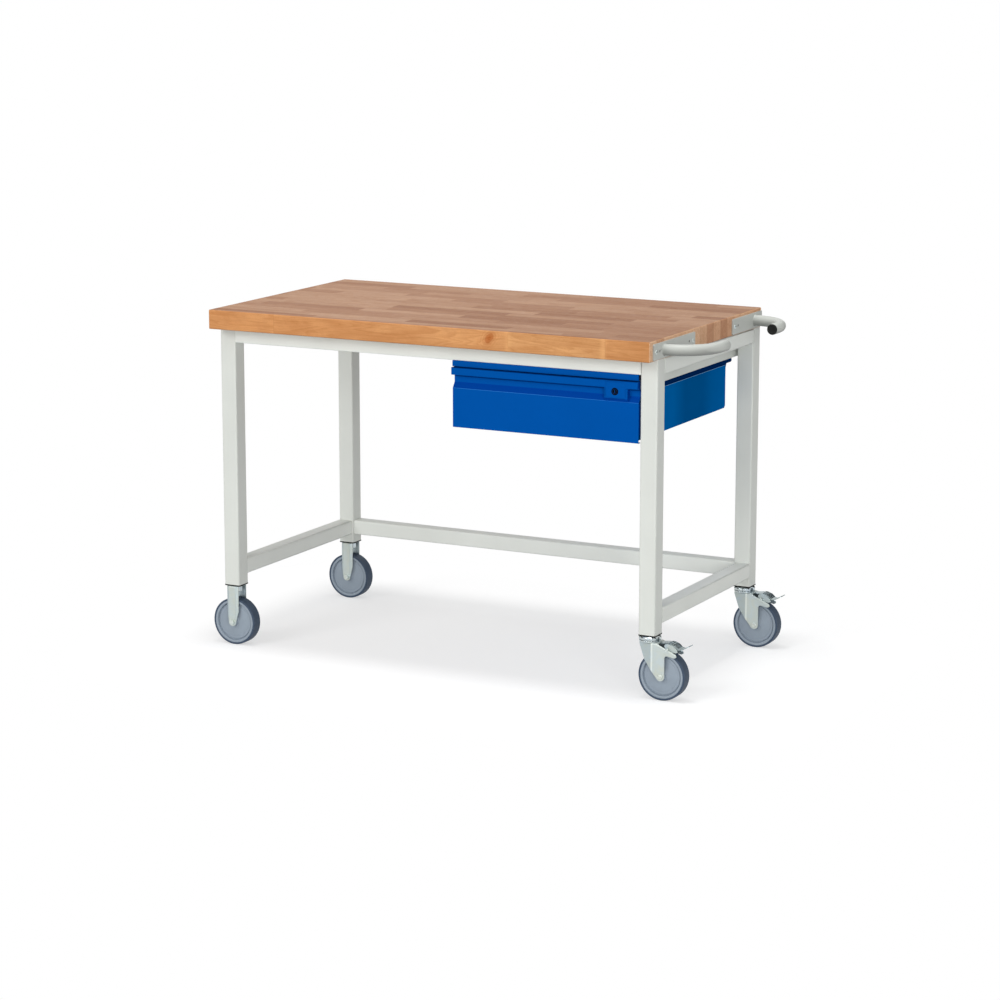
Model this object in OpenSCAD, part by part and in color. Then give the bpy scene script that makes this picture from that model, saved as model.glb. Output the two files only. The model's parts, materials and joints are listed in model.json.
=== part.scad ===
// Mobile workbench: beech worktop on a square-tube frame, one lockable drawer on runners,
// two push handles, two fixed castors and two braked swivel castors.
// +X runs along the worktop to the handles, +Y to the back, +Z up. The origin is on the floor,
// under the middle of the whole object.

/* [Worktop] */
// Length of the worktop
top_l = 1250; // [1150:10:1500]
// Depth of the worktop
top_w = 700; // [660:5:800]
// Thickness of the worktop
top_t = 50; // [44:1:60]
// Chamfer on the worktop's edges
top_edge = 2; // [1:0.5:4]

/* [Frame] */
// Height of the working surface above the floor
work_h = 900; // [820:5:1000]
// Side of the square legs
leg_s = 45; // [42:1:60]
// Side of the square rails and drawer carriers
rail_s = 40; // [36:1:44]
// Wall of the frame tubes
tube_wall = 2; // [1.5:0.25:3]
// Outer corner radius of the frame tubes
tube_r = 4; // [3.5:0.5:6]
// Overhang of the worktop past the legs at each end
end_inset = 2; // [0:1:20]
// Overhang of the worktop in front of the legs
front_overhang = 52; // [30:1:80]
// Height of the lower rails above the ends of the legs
lower_rail_gap = 24; // [10:1:80]
// Shaft radius of the wood screws under the worktop
wood_screw_r = 2.5; // [2:0.25:3]
// Length of the wood screws in the worktop
wood_screw_l = 30; // [20:1:38]

/* [Drawer unit] */
// Width of the drawer front
drawer_front_w = 512; // [400:1:560]
// Height of the drawer front
drawer_front_h = 153; // [130:1:220]
// Gap between the drawer front and the right-hand legs
drawer_leg_gap = 5.5; // [3:0.5:20]
// Sheet thickness of the drawer front, strip and housing
sheet_t = 1.5; // [1:0.25:2]
// How far the grip lip stands in front of the frame
lip_proud = 6; // [3:1:12]
// Height of the grip lip
lip_h = 19; // [14:1:26]
// How far the grip recess lies behind the frame's front
neck_setback = 12; // [8:1:14]
// Height of the grip recess
neck_h = 20; // [16:1:26]
// Height of the slope under the grip recess
slope_h = 14; // [8:1:20]
// How far the main panel lies behind the frame's front
face_setback = 2; // [0:1:5]
// Height of the strip above the drawer front
strip_h = 15.5; // [14:0.5:20]
// Depth of the strip above the drawer front
strip_depth = 15; // [10:1:16]
// Overlap of the drawer front past each side of the housing
side_overlap = 4.5; // [3:0.5:8]
// Depth of the housing's side panels
housing_l = 536; // [524:1:560]
// Length of the housing's mounting rails
housing_rail_l = 579; // [560:1:590]
// Visible height of the housing's mounting rails
housing_rail_h = 17; // [12:1:22]
// Width of the mounting rails' top flange
housing_flange_w = 36; // [30:1:38]
// Height of the housing's side panels
housing_side_h = 107; // [95:1:120]
// Length of the drawer box and its runners
box_l = 500; // [440:5:510]
// Height of the drawer box's sides
box_h = 85; // [60:1:90]
// Sheet thickness of the drawer box
box_t = 1; // [0.8:0.1:1.5]
// Space between the housing's bottom and the drawer box
box_lift = 10.5; // [6:0.5:14]
// Height of the drawer runners
runner_h = 45; // [40:1:46]
// Width of a closed runner
runner_w = 12.7; // [12.5:0.1:13.5]
// Sheet thickness of the runner members
runner_t = 1.2; // [1:0.1:1.4]
// Shaft radius of the drawer unit's screws
unit_screw_r = 3; // [2.5:0.25:3.5]

/* [Lock] */
// Distance of the lock from the drawer front's right edge
lock_inset = 60; // [45:1:120]
// Height of the lock below the drawer front's top
lock_drop = 27; // [25:0.5:30]
// Radius of the lock barrel
lock_r = 9.5; // [8:0.25:10]
// Width of the plate around the lock
lock_plate_w = 63; // [45:1:80]
// Length of the lock cam from its axis
cam_l = 34; // [32:1:38]

/* [Push handles] */
// Height of the handle plates
plate_h = 40; // [34:1:42]
// Thickness of the handle plates
plate_t = 3; // [2:0.5:4]
// Length of the front handle's plate
plate_front_l = 248; // [220:1:260]
// Length of the rear handle's plate
plate_rear_l = 194; // [180:1:220]
// Distance of the front plate from the worktop's front edge
plate_front_gap = 17; // [5:1:30]
// Distance of the rear plate from the worktop's back edge
plate_rear_gap = 3; // [0:1:20]
// Distance of the tube from the front plate's outer end
tube_front_inset = 63; // [58:1:80]
// Distance of the tube from the rear plate's outer end
tube_rear_inset = 48; // [44:1:60]
// Outer radius of the handle tube
handle_r = 14; // [12:0.5:15]
// Wall of the handle tube
handle_wall = 2.5; // [1.5:0.25:3]
// Centreline radius of the handle's bend
handle_bend_r = 98; // [80:1:99]
// How far the handles stand out past the worktop
handle_reach = 120; // [118:1:140]
// Length of the handles along the worktop's end, from tube to tip
handle_span = 134; // [110:1:150]
// Distance of the handle screws from the ends of the plates
handle_screw_inset = 14; // [10:1:18]
// Distance of the spare holes from the ends of the plates
spare_hole_inset = 36; // [30:1:40]

/* [Castors] */
// Height of a castor from the floor to its mounting face
castor_h = 160; // [158:1:170]
// Diameter of the wheels
wheel_d = 125; // [115:1:126]
// Width of the tyres
tyre_w = 32; // [26:1:36]
// Thickness of the tyres
tyre_t = 8; // [6:0.5:12]
// Width of the wheels' hubs
hub_w = 40; // [37:1:41]
// Radius of the axle sleeves
sleeve_r = 6; // [5:0.25:7]
// Inner width of the forks
fork_gap = 42; // [42:1:48]
// Sheet thickness of the forks
fork_t = 3; // [2:0.25:3.5]
// Width of the fixed forks
fixed_fork_w = 34; // [30:1:40]
// Distance from the kingpin to the axle of a swivel castor
trail = 38; // [34:1:42]
// Outer radius of the swivel head
head_r = 28; // [26:0.5:30]
// Diameter of the balls in the swivel head
race_ball_d = 5; // [4:0.5:5.5]
// Radius of the castors' mounting bolts
stem_r = 6; // [5:0.25:7]
// Angle by which a brake pedal is pressed down
pedal_travel = 25; // [10:1:30]

/* [Hidden] */
$fn = 48;

// Clearances
fit = 0.1;          // radial clearance of a fixed pin or screw in its hole
running_fit = 0.06; // radial clearance of a turning shaft
ball_fit = 0.05;    // clearance of a ball on each side
light_gap = 0.3;    // gap between pieces that move past each other
panel_gap = 1.5;    // gap above and behind the drawer front

// Colours
beech = [0.78, 0.57, 0.40];
light_grey = [0.84, 0.85, 0.83];
blue = [0.02, 0.30, 0.60];
navy = [0.01, 0.15, 0.36];
zinc = [0.76, 0.79, 0.79];
black = [0.08, 0.08, 0.08];
core_grey = [0.58, 0.63, 0.68];
tyre_grey = [0.25, 0.31, 0.38];

// Frame
left_reach = max(0, wheel_d / 2 - leg_s / 2 - end_inset);
top_x = (left_reach - handle_reach) / 2;
axle_end = 7.5; // length of a fixed castor's axle bolt behind its fork
back_reach = max(0, fork_gap / 2 + fork_t + axle_end - leg_s / 2);
top_y = -back_reach / 2;
front_edge = top_y - top_w / 2;
back_edge = top_y + top_w / 2;
end_right = top_x + top_l / 2;
leg_top = work_h - top_t;
leg_xl = top_x - top_l / 2 + end_inset + leg_s / 2;
leg_xr = end_right - end_inset - leg_s / 2;
front_y = front_edge + front_overhang;
leg_yf = front_y + leg_s / 2;
leg_yb = back_edge - leg_s / 2;
plug_plate_t = 2;
plug_l = 25;
leg_z = castor_h + plug_plate_t;
rail_z = leg_top - rail_s;
rail_yf = front_y + rail_s / 2;
rail_yb = back_edge - rail_s / 2;
rail_xl = leg_xl - leg_s / 2 + rail_s / 2;
rail_xr = leg_xr + leg_s / 2 - rail_s / 2;
lower_z = leg_z + lower_rail_gap;
screw_head_h = 3;
screw_access_r = 6;

// Drawer unit
drawer_x = leg_xr - leg_s / 2 - drawer_leg_gap - drawer_front_w / 2;
housing_w = drawer_front_w - 2 * side_overlap;
carrier_z = rail_z - rail_s;
carrier_y = front_y + 18;
carrier_l = back_edge - 5 - carrier_y;
carrier_dx = housing_w / 2 - rail_s / 2;
cap_t = 1.5;
strip_z = rail_z - strip_h;
drawer_z1 = strip_z - panel_gap;
drawer_z0 = drawer_z1 - drawer_front_h;
lip_y = front_y - lip_proud;
neck_y = front_y + neck_setback;
face_y = front_y + face_setback;
wall_y = neck_y + sheet_t;
lip_z = drawer_z1 - lip_h;
neck_z = lip_z - neck_h;
face_z = neck_z - slope_h;
housing_y = wall_y + box_t + light_gap;
side_z1 = carrier_z - housing_rail_h;
side_z0 = side_z1 - housing_side_h;
rail_lap = 12; // overlap of the mounting rails and the housing's sides
box_y = wall_y;
box_z = side_z0 + sheet_t + box_lift;
box_w = housing_w - 2 * sheet_t - 2 * runner_w;
runner_y = wall_y + box_t + 4;
runner_l = box_l - 10;
runner_z = box_z + 12 + runner_h / 2;
runner_wall_x = housing_w / 2 - sheet_t;
ball_gap = 3;
middle_h = runner_h - 2 * runner_t - 2 * ball_gap;
inner_h = middle_h - 2 * runner_t - 2 * ball_gap;
ball_rows = 5;
ball_pitch = 38;
unit_screw_l = 10;
unit_screw_head_h = 3.5;
unit_screw_y = [housing_y + 40, housing_y + housing_rail_l / 2 - 2, housing_y + housing_rail_l - 40];
carrier_screw_y = [front_y + rail_s - 11, rail_yb - 2];
wood_screw_end = 120;
wood_screw_x = [leg_xl + wood_screw_end, (leg_xl + wood_screw_end + drawer_x - carrier_dx) / 2, drawer_x];
wall_top = lip_z - 2;
front_screw_z = (neck_z + wall_top) / 2;
front_screw_dx = [-box_w / 2 + 12, -box_w / 7, box_w / 7, box_w / 2 - 12];

// Lock
lock_x = drawer_x + drawer_front_w / 2 - lock_inset;
lock_z = drawer_z1 - lock_drop;
lock_y = lip_y - sheet_t - 1;
lock_l = 34;
core_r = 6;
cam_w = 10;
cam_t = 2.5;
cam_y = lock_y + lock_l + light_gap;
keeper_w = 24;
keeper_y = cam_y - light_gap;

// Handles
plate_z = work_h - top_t / 2 - 2.5;
plate_front_y = front_edge + plate_front_gap;
plate_rear_y = back_edge - plate_rear_gap;
handle_front_y = plate_front_y + tube_front_inset;
handle_rear_y = plate_rear_y - tube_rear_inset;
tube_x = end_right + handle_reach - handle_r;
handle_screw_r = 2.5;
handle_screw_l = 36;

// Castors
axle_z = wheel_d / 2;
axle_r = 4;
fork_y = fork_gap / 2;
axle_head_r = 6.5;
crown_h = 6.8;
head_t = 5;
head_rim = 3.5;
crown_top = castor_h - head_t - race_ball_d - 2 * ball_fit;
fork_top = crown_top - crown_h + fork_t;
crown_z = crown_top - crown_h;
race_r = 19;
race_balls_n = 14;
pin_r = 3;
pin_x = trail + 18;
pin_z = 132;
barrel_r = 6.5;
pedal_w = fork_gap - 3;
lobe_tip = norm([pin_x - trail, pin_z - axle_z]) - wheel_d / 2 - light_gap;
lobe_r = 3;
bolt_head_h = 7.5;

// ---------- shared shapes ----------

// Rectangle with round corners, centred.
module rounded_square(w, h, r) {
  square([w - 2 * r, h], center = true);
  square([w, h - 2 * r], center = true);
  for (sx = [-1, 1], sy = [-1, 1])
    translate([sx * (w / 2 - r), sy * (h / 2 - r)]) circle(r);
}

// Square tube standing on z = 0.
module tube(l, s) {
  linear_extrude(l) difference() {
    rounded_square(s, s, tube_r);
    rounded_square(s - 2 * tube_wall, s - 2 * tube_wall, tube_r - tube_wall);
  }
}

// Turns children that stand along +Z to lie along +X, or along +Y.
module along_x() { rotate([0, 90, 0]) children(); }
module along_y() { rotate([-90, 0, 0]) children(); }

// Cylinder along +Y or +X from the given point.
module rod_y(p, l, r) { translate(p) along_y() cylinder(h = l, r = r); }
module rod_x(p, l, r) { translate(p) along_x() cylinder(h = l, r = r); }

// Screw along +Z: its head below z = 0, its shaft above.
module screw(shaft_r, shaft_l, head_r, head_h) {
  translate([0, 0, -head_h / 2]) cylinder(h = shaft_l + head_h / 2, r = shaft_r);
  translate([0, 0, -head_h]) cylinder(h = head_h, r = head_r);
}

// Box with chamfered edges, centred in X and Y, standing on z = 0.
module chamfered_box(l, w, h, c) {
  intersection() {
    linear_extrude(h) octagon(l, w, c);
    translate([0, w / 2, h / 2]) rotate([90, 0, 0]) linear_extrude(w) octagon(l, h, c);
    translate([-l / 2, 0, h / 2]) rotate([90, 0, 90]) linear_extrude(l) octagon(w, h, c);
  }
}
module octagon(l, w, c) {
  polygon([[-l / 2 + c, -w / 2], [l / 2 - c, -w / 2], [l / 2, -w / 2 + c], [l / 2, w / 2 - c],
    [l / 2 - c, w / 2], [-l / 2 + c, w / 2], [-l / 2, w / 2 - c], [-l / 2, -w / 2 + c]]);
}

// Extrudes an outline drawn in (y, z) along X, from x0 to x1.
module sheet_along_x(x0, x1) {
  translate([x0, 0, 0]) rotate([90, 0, 90]) linear_extrude(x1 - x0) children();
}
// Extrudes an outline drawn in (x, z) along Y, from y0 to y1.
module plate_along_y(y0, y1) {
  translate([0, y1, 0]) rotate([90, 0, 0]) linear_extrude(y1 - y0) children();
}

// Folded sheet: the outline of a path thickened by t to its left.
function left_normal(a, b) = let (d = (b - a) / norm(b - a)) [-d[1], d[0]];
function fold_point(path, i, t) =
  let (n = len(path),
    n0 = left_normal(path[max(i - 1, 0)], path[max(i, 1)]),
    n1 = left_normal(path[min(i, n - 2)], path[min(i + 1, n - 1)]))
  path[i] + t * (n0 + n1) / (1 + n0 * n1);
function folded(path, t) =
  concat(path, [for (i = [len(path) - 1 : -1 : 0]) fold_point(path, i, t)]);

// ---------- worktop and frame ----------

module wood_screw_places() {
  for (x = wood_screw_x, y = [rail_yf, rail_yb])
    translate([x, y, leg_top - tube_wall]) children();
}

module worktop() {
  color(beech) difference() {
    translate([top_x, top_y, leg_top]) chamfered_box(top_l, top_w, top_t, top_edge);
    wood_screw_places() cylinder(h = tube_wall + wood_screw_l + fit, r = wood_screw_r + fit);
    handle_screw_places()
      translate([0, 0, -1]) cylinder(h = handle_screw_l + 1 + fit, r = handle_screw_r + fit);
  }
}

module worktop_screws() {
  color(zinc) wood_screw_places()
    screw(wood_screw_r, tube_wall + wood_screw_l, 2 * wood_screw_r, screw_head_h);
}

module leg(x, y) {
  color(light_grey) translate([x, y, leg_z]) tube(leg_top - leg_z, leg_s);
}
module leg_front_left() { leg(leg_xl, leg_yf); }
module leg_front_right() { leg(leg_xr, leg_yf); }
module leg_back_left() { leg(leg_xl, leg_yb); }
module leg_back_right() { leg(leg_xr, leg_yb); }

// Black plugs with a bore for the castor's bolt, one in the lower end of each leg.
module leg_plugs() {
  plug_s = leg_s - 2 * tube_wall - 4 * fit;
  color(black) for (x = [leg_xl, leg_xr], y = [leg_yf, leg_yb])
    translate([x, y, castor_h]) difference() {
      union() {
        linear_extrude(plug_plate_t) rounded_square(leg_s, leg_s, tube_r);
        linear_extrude(plug_plate_t + plug_l) rounded_square(plug_s, plug_s, tube_r - tube_wall);
      }
      translate([0, 0, -1]) cylinder(h = plug_plate_t + plug_l + 2, r = stem_r + fit);
    }
}

// Top rail along X, with holes for the worktop's screws and the carriers' screws.
module long_top_rail(y, screw_y) {
  x0 = leg_xl + leg_s / 2;
  color(light_grey) difference() {
    translate([x0, y, rail_z + rail_s / 2]) along_x() tube(leg_xr - leg_s / 2 - x0, rail_s);
    for (x = wood_screw_x) translate([x, y, 0]) {
      translate([0, 0, rail_z - 1]) cylinder(h = rail_s / 2, r = screw_access_r);
      translate([0, 0, rail_z + rail_s / 2]) cylinder(h = rail_s, r = wood_screw_r + fit);
    }
    for (s = [-1, 1]) translate([drawer_x + s * carrier_dx, screw_y, rail_z - 1])
      cylinder(h = tube_wall + 2, r = unit_screw_r + fit);
  }
}
module top_rail_front() { long_top_rail(rail_yf, carrier_screw_y[0]); }
module top_rail_back() { long_top_rail(rail_yb, carrier_screw_y[1]); }

module short_rail(x, z) {
  y0 = leg_yf + leg_s / 2;
  color(light_grey) translate([x, y0, z + rail_s / 2]) along_y() tube(leg_yb - leg_s / 2 - y0, rail_s);
}
module top_rail_left() { short_rail(rail_xl, rail_z); }
module top_rail_right() { short_rail(rail_xr, rail_z); }
module lower_rail_left() { short_rail(rail_xl, lower_z); }
module lower_rail_right() { short_rail(rail_xr, lower_z); }
module lower_rail_back() {
  x0 = leg_xl + leg_s / 2;
  color(light_grey) translate([x0, rail_yb, lower_z + rail_s / 2])
    along_x() tube(leg_xr - leg_s / 2 - x0, rail_s);
}

// ---------- drawer carriers and housing ----------

// Square tube under the top rails; the screws' heads are reached through holes in its lower wall.
module carrier(side) {
  color(light_grey) difference() {
    translate([drawer_x + side * carrier_dx, carrier_y, carrier_z + rail_s / 2])
      along_y() tube(carrier_l, rail_s);
    translate([drawer_x + side * carrier_dx, 0, carrier_z]) {
      for (y = carrier_screw_y) translate([0, y, 0]) {
        translate([0, 0, -1]) cylinder(h = rail_s / 2, r = screw_access_r);
        translate([0, 0, rail_s / 2]) cylinder(h = rail_s, r = unit_screw_r + fit);
      }
      for (y = unit_screw_y) translate([0, y, -1]) cylinder(h = tube_wall + 2, r = unit_screw_r + fit);
    }
  }
}
module carrier_left() { carrier(-1); }
module carrier_right() { carrier(1); }

module carrier_caps() {
  cap_s = rail_s - 2 * tube_wall - 4 * fit;
  color(light_grey) for (s = [-1, 1], end = [0, 1])
    translate([drawer_x + s * carrier_dx, carrier_y + end * carrier_l, carrier_z + rail_s / 2])
      rotate([end == 0 ? 90 : -90, 0, 0]) {
        linear_extrude(cap_t) rounded_square(rail_s, rail_s, tube_r);
        translate([0, 0, -6]) linear_extrude(6 + cap_t) rounded_square(cap_s, cap_s, tube_r - tube_wall);
      }
}

module unit_screw() { screw(unit_screw_r, unit_screw_l, 5, unit_screw_head_h); }

module unit_screws() {
  color(zinc) for (s = [-1, 1]) translate([drawer_x + s * carrier_dx, 0, 0]) {
    for (y = carrier_screw_y) translate([0, y, rail_z - tube_wall]) unit_screw();
    for (y = unit_screw_y) translate([0, y, carrier_z - sheet_t]) unit_screw();
  }
}

// Folded tray: bottom and back in one sheet with a bevelled corner, and two sides.
module housing_shell() {
  bevel = 6;
  x0 = drawer_x - housing_w / 2;
  y1 = housing_y + housing_l;
  path = [[housing_y, side_z0], [y1 - bevel, side_z0], [y1, side_z0 + bevel], [y1, side_z1 - rail_lap]];
  color(blue) {
    sheet_along_x(x0, x0 + housing_w) polygon(folded(path, sheet_t));
    for (x = [x0, x0 + housing_w - sheet_t])
      sheet_along_x(x, x + sheet_t) polygon(concat(path, [[y1, side_z1], [housing_y, side_z1]]));
  }
}

// Angle rails: a flange screwed to the carrier and a web that the housing's side hangs on.
module housing_rails() {
  web_x = housing_w / 2 - 2 * sheet_t;
  color(navy) for (s = [-1, 1]) difference() {
    translate([drawer_x, 0, 0]) mirror([s < 0 ? 1 : 0, 0, 0]) {
      translate([web_x, housing_y, side_z1 - rail_lap]) cube([sheet_t, housing_rail_l, housing_rail_h + rail_lap]);
      translate([web_x + sheet_t - housing_flange_w, housing_y, carrier_z - sheet_t])
        cube([housing_flange_w, housing_rail_l, sheet_t]);
    }
    for (y = unit_screw_y) translate([drawer_x + s * carrier_dx, y, carrier_z - sheet_t - 1])
      cylinder(h = sheet_t + 2, r = unit_screw_r + fit);
    translate([drawer_x + s * carrier_dx, carrier_screw_y[0], carrier_z - sheet_t - 1])
      cylinder(h = sheet_t + 2, r = screw_access_r);
  }
}

// Channel under the front rail, open to the back, with a tab that the lock's cam engages.
module housing_front_strip() {
  x0 = drawer_x - drawer_front_w / 2;
  path = [[front_y + strip_depth, rail_z], [front_y, rail_z], [front_y, strip_z],
    [front_y + strip_depth, strip_z]];
  color(blue) {
    sheet_along_x(x0, x0 + drawer_front_w) polygon(folded(path, sheet_t));
    translate([lock_x - keeper_w / 2, front_y + strip_depth - 1, strip_z])
      cube([keeper_w, keeper_y - front_y - strip_depth + 1, sheet_t]);
  }
}

// ---------- drawer runners ----------

// Channel along Y, open towards one side: u0 to u1 is measured inwards from the housing's side.
module runner_channel(side, u0, u1, h, web_inside) {
  web_u = web_inside ? u1 - runner_t : u0;
  translate([drawer_x, 0, 0]) mirror([side < 0 ? 1 : 0, 0, 0]) {
    translate([runner_wall_x - web_u - runner_t, runner_y, runner_z - h / 2])
      cube([runner_t, runner_l, h]);
    for (z = [-h / 2, h / 2 - runner_t]) translate([runner_wall_x - u1, runner_y, runner_z + z])
      cube([u1 - u0, runner_l, runner_t]);
  }
}

module runner_fixed() {
  color(zinc) for (s = [-1, 1]) runner_channel(s, 0, runner_w - 2.7, runner_h, false);
}
module runner_middle() {
  color(zinc) for (s = [-1, 1]) runner_channel(s, 3.6, runner_w - 2.2, middle_h, false);
}
module runner_inner() {
  color(zinc) for (s = [-1, 1]) runner_channel(s, 6, runner_w, inner_h, true);
}

// Balls between the members: rear rows run in the fixed member, front rows in the inner one.
module runner_balls() {
  ball_u = runner_w - 4.7;
  ball_r = ball_gap / 2 - ball_fit;
  color(zinc) for (s = [-1, 1], v = [-1, 1], i = [0 : ball_rows - 1])
    translate([drawer_x + s * (runner_wall_x - ball_u), 0, runner_z]) {
      translate([0, runner_y + runner_l - 20 - i * ball_pitch, v * (middle_h + ball_gap) / 2]) sphere(ball_r);
      translate([0, runner_y + 20 + i * ball_pitch, v * (inner_h + ball_gap) / 2]) sphere(ball_r);
    }
}

// ---------- drawer ----------

module drawer_box() {
  inside = box_w - 2 * box_t;
  color(light_grey) difference() {
    union() {
      translate([drawer_x - box_w / 2, box_y, box_z]) cube([box_w, box_l, box_h]);
      translate([drawer_x - box_w / 2, box_y, box_z]) cube([box_w, box_t, wall_top - box_z]);
    }
    translate([drawer_x - inside / 2, box_y + box_t, box_z + box_t])
      cube([inside, box_l - 2 * box_t, box_h + drawer_front_h]);
    rod_y([lock_x, box_y - 1, lock_z], box_t + 2, lock_r + fit);
    drawer_screw_places() rod_y([0, -1, 0], box_t + 2, 2 + fit);
  }
}

module drawer_screw_places() {
  for (dx = front_screw_dx) translate([drawer_x + dx, box_y, front_screw_z]) children();
}

module drawer_screws() {
  color(zinc) drawer_screw_places() {
    rod_y([0, -sheet_t + light_gap, 0], sheet_t + box_t - light_gap, 2);
    rod_y([0, box_t, 0], 2, 4);
  }
}

// One folded sheet: top flange, grip lip, recess, slope, main panel and bottom flange.
module drawer_front() {
  x0 = drawer_x - drawer_front_w / 2;
  x1 = x0 + drawer_front_w;
  path = [[neck_y, drawer_z1], [lip_y, drawer_z1], [lip_y, lip_z], [neck_y, lip_z], [neck_y, neck_z],
    [face_y, face_z], [face_y, drawer_z0], [wall_y, drawer_z0]];
  notch = 20;
  color(blue) difference() {
    union() {
      sheet_along_x(x0, x1) polygon(folded(path, sheet_t));
      for (x = [x0, x1 - sheet_t]) {
        translate([x, face_y + sheet_t, drawer_z0 + notch])
          cube([sheet_t, wall_y - face_y - sheet_t, face_z - drawer_z0 - notch]);
        translate([x, lip_y + sheet_t, lip_z + sheet_t])
          cube([sheet_t, neck_y - lip_y - sheet_t, lip_h - 2 * sheet_t]);
      }
    }
    rod_y([lock_x, lip_y - 1, lock_z], neck_y - lip_y + 4, lock_r + fit);
    drawer_screw_places() rod_y([0, -sheet_t + light_gap - fit, 0], sheet_t + 1, 2 + fit);
  }
}

// Raised plate around the lock, closed at its ends down to the recess.
module lock_plate() {
  x0 = lock_x - lock_plate_w / 2;
  x1 = x0 + lock_plate_w;
  top_z = drawer_z1 - 4;
  low_z = face_z + slope_h / 2;
  corner_r = 4;
  cover = [[lip_y - sheet_t, top_z], [lip_y - sheet_t, low_z], [face_y, face_z], [face_y, face_z + 1],
    [lip_y, low_z + 1], [lip_y, top_z]];
  cheek = [[lip_y, lip_z], [lip_y, low_z + 1], [face_y, face_z + 1], [neck_y, neck_z + 1], [neck_y, lip_z]];
  color(blue) difference() {
    union() {
      intersection() {
        sheet_along_x(x0, x1) polygon(cover);
        plate_along_y(lip_y - 5, neck_y) union() {
          translate([(x0 + x1) / 2, (top_z + face_z) / 2])
            rounded_square(lock_plate_w, top_z - face_z, corner_r);
          translate([x0, face_z]) square([lock_plate_w, slope_h]);
        }
      }
      for (x = [x0, x1 - sheet_t]) sheet_along_x(x, x + sheet_t) polygon(cheek);
    }
    rod_y([lock_x, lip_y - 10, lock_z], 40, lock_r + fit);
  }
}

module lock_barrel() {
  color(black) difference() {
    rod_y([lock_x, lock_y, lock_z], lock_l, lock_r);
    rod_y([lock_x, lock_y - 1, lock_z], lock_l + 2, core_r + running_fit);
  }
}

module lock_core() {
  slot_w = 1.6;
  slot_h = 7;
  stub_r = 3;
  color(zinc) difference() {
    union() {
      rod_y([lock_x, lock_y - 0.5, lock_z], cam_y - lock_y + 0.5, core_r);
      rod_y([lock_x, cam_y - 1, lock_z], cam_t + 1 + 1.5, stub_r);
    }
    translate([lock_x - slot_w / 2, lock_y - 1, lock_z - slot_h / 2]) cube([slot_w, 11, slot_h]);
  }
}

// Cam, lying to the left when unlocked; a quarter turn raises it behind the strip's tab.
module lock_cam() {
  color(zinc) translate([lock_x, 0, lock_z]) difference() {
    plate_along_y(cam_y, cam_y + cam_t) {
      circle(cam_w * 0.75);
      translate([-cam_l, -cam_w / 2]) square([cam_l, cam_w]);
    }
    rod_y([0, cam_y - 1, 0], cam_t + 2, 3 + fit);
  }
}

// ---------- push handles ----------

// Places screws into the worktop's end, along -X, two in each plate.
module handle_screw_places() {
  ys = [plate_front_y + handle_screw_inset, plate_front_y + plate_front_l - handle_screw_inset,
    plate_rear_y - handle_screw_inset, plate_rear_y - plate_rear_l + handle_screw_inset];
  for (y = ys) translate([end_right, y, plate_z]) rotate([0, -90, 0]) children();
}

// Handle whose plate starts at y0 and whose tube leaves it at y, bent towards +Y.
module push_handle(y0, l, y, spare_y) {
  bend_x = tube_x - handle_bend_r;
  color(light_grey) difference() {
    union() {
      translate([end_right, y0 + l / 2, plate_z]) along_x()
        linear_extrude(plate_t) rounded_square(plate_h, l, 3);
      translate([end_right + plate_t, y, plate_z]) along_x()
        linear_extrude(bend_x - end_right - plate_t) ring_outline();
      translate([bend_x, y + handle_bend_r, plate_z]) rotate([0, 0, -90])
        rotate_extrude(angle = 90) translate([handle_bend_r, 0]) ring_outline();
      translate([tube_x, y + handle_bend_r, plate_z]) along_y()
        linear_extrude(handle_span - handle_bend_r) ring_outline();
    }
    for (hy = [y0 + handle_screw_inset, y0 + l - handle_screw_inset])
      rod_x([end_right - 1, hy, plate_z], plate_t + 2, handle_screw_r + fit);
    for (hy = spare_y) rod_x([end_right - 1, hy, plate_z], plate_t + 2, 3.5);
  }
}
module ring_outline() {
  difference() {
    circle(handle_r);
    circle(handle_r - handle_wall);
  }
}
module handle_front() {
  push_handle(plate_front_y, plate_front_l, handle_front_y,
    [plate_front_y + spare_hole_inset, plate_front_y + plate_front_l - spare_hole_inset]);
}
module handle_rear() {
  mirror([0, 1, 0]) push_handle(-plate_rear_y, plate_rear_l, -handle_rear_y,
    [-plate_rear_y + plate_rear_l - spare_hole_inset]);
}

// Black plugs in the free ends of the tubes.
module handle_plugs() {
  ends = [[handle_front_y + handle_span, -90], [handle_rear_y - handle_span, 90]];
  color(black) for (e = ends) translate([tube_x, e[0], plate_z]) rotate([e[1], 0, 0]) {
    cylinder(h = 2, r = handle_r - 0.3);
    translate([0, 0, -14]) cylinder(h = 15, r = handle_r - handle_wall - fit);
  }
}

module handle_screws() {
  color(zinc) handle_screw_places() {
    cylinder(h = handle_screw_l, r = handle_screw_r);
    translate([0, 0, -plate_t - 3]) cylinder(h = 3, r = 5.5);
    translate([0, 0, -plate_t - 1]) cylinder(h = plate_t + 2, r = handle_screw_r);
  }
}

// ---------- castors ----------

module fixed_places() { for (y = [leg_yf, leg_yb]) translate([leg_xl, y, 0]) children(); }
module swivel_places() { for (y = [leg_yf, leg_yb]) translate([leg_xr, y, 0]) children(); }

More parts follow.
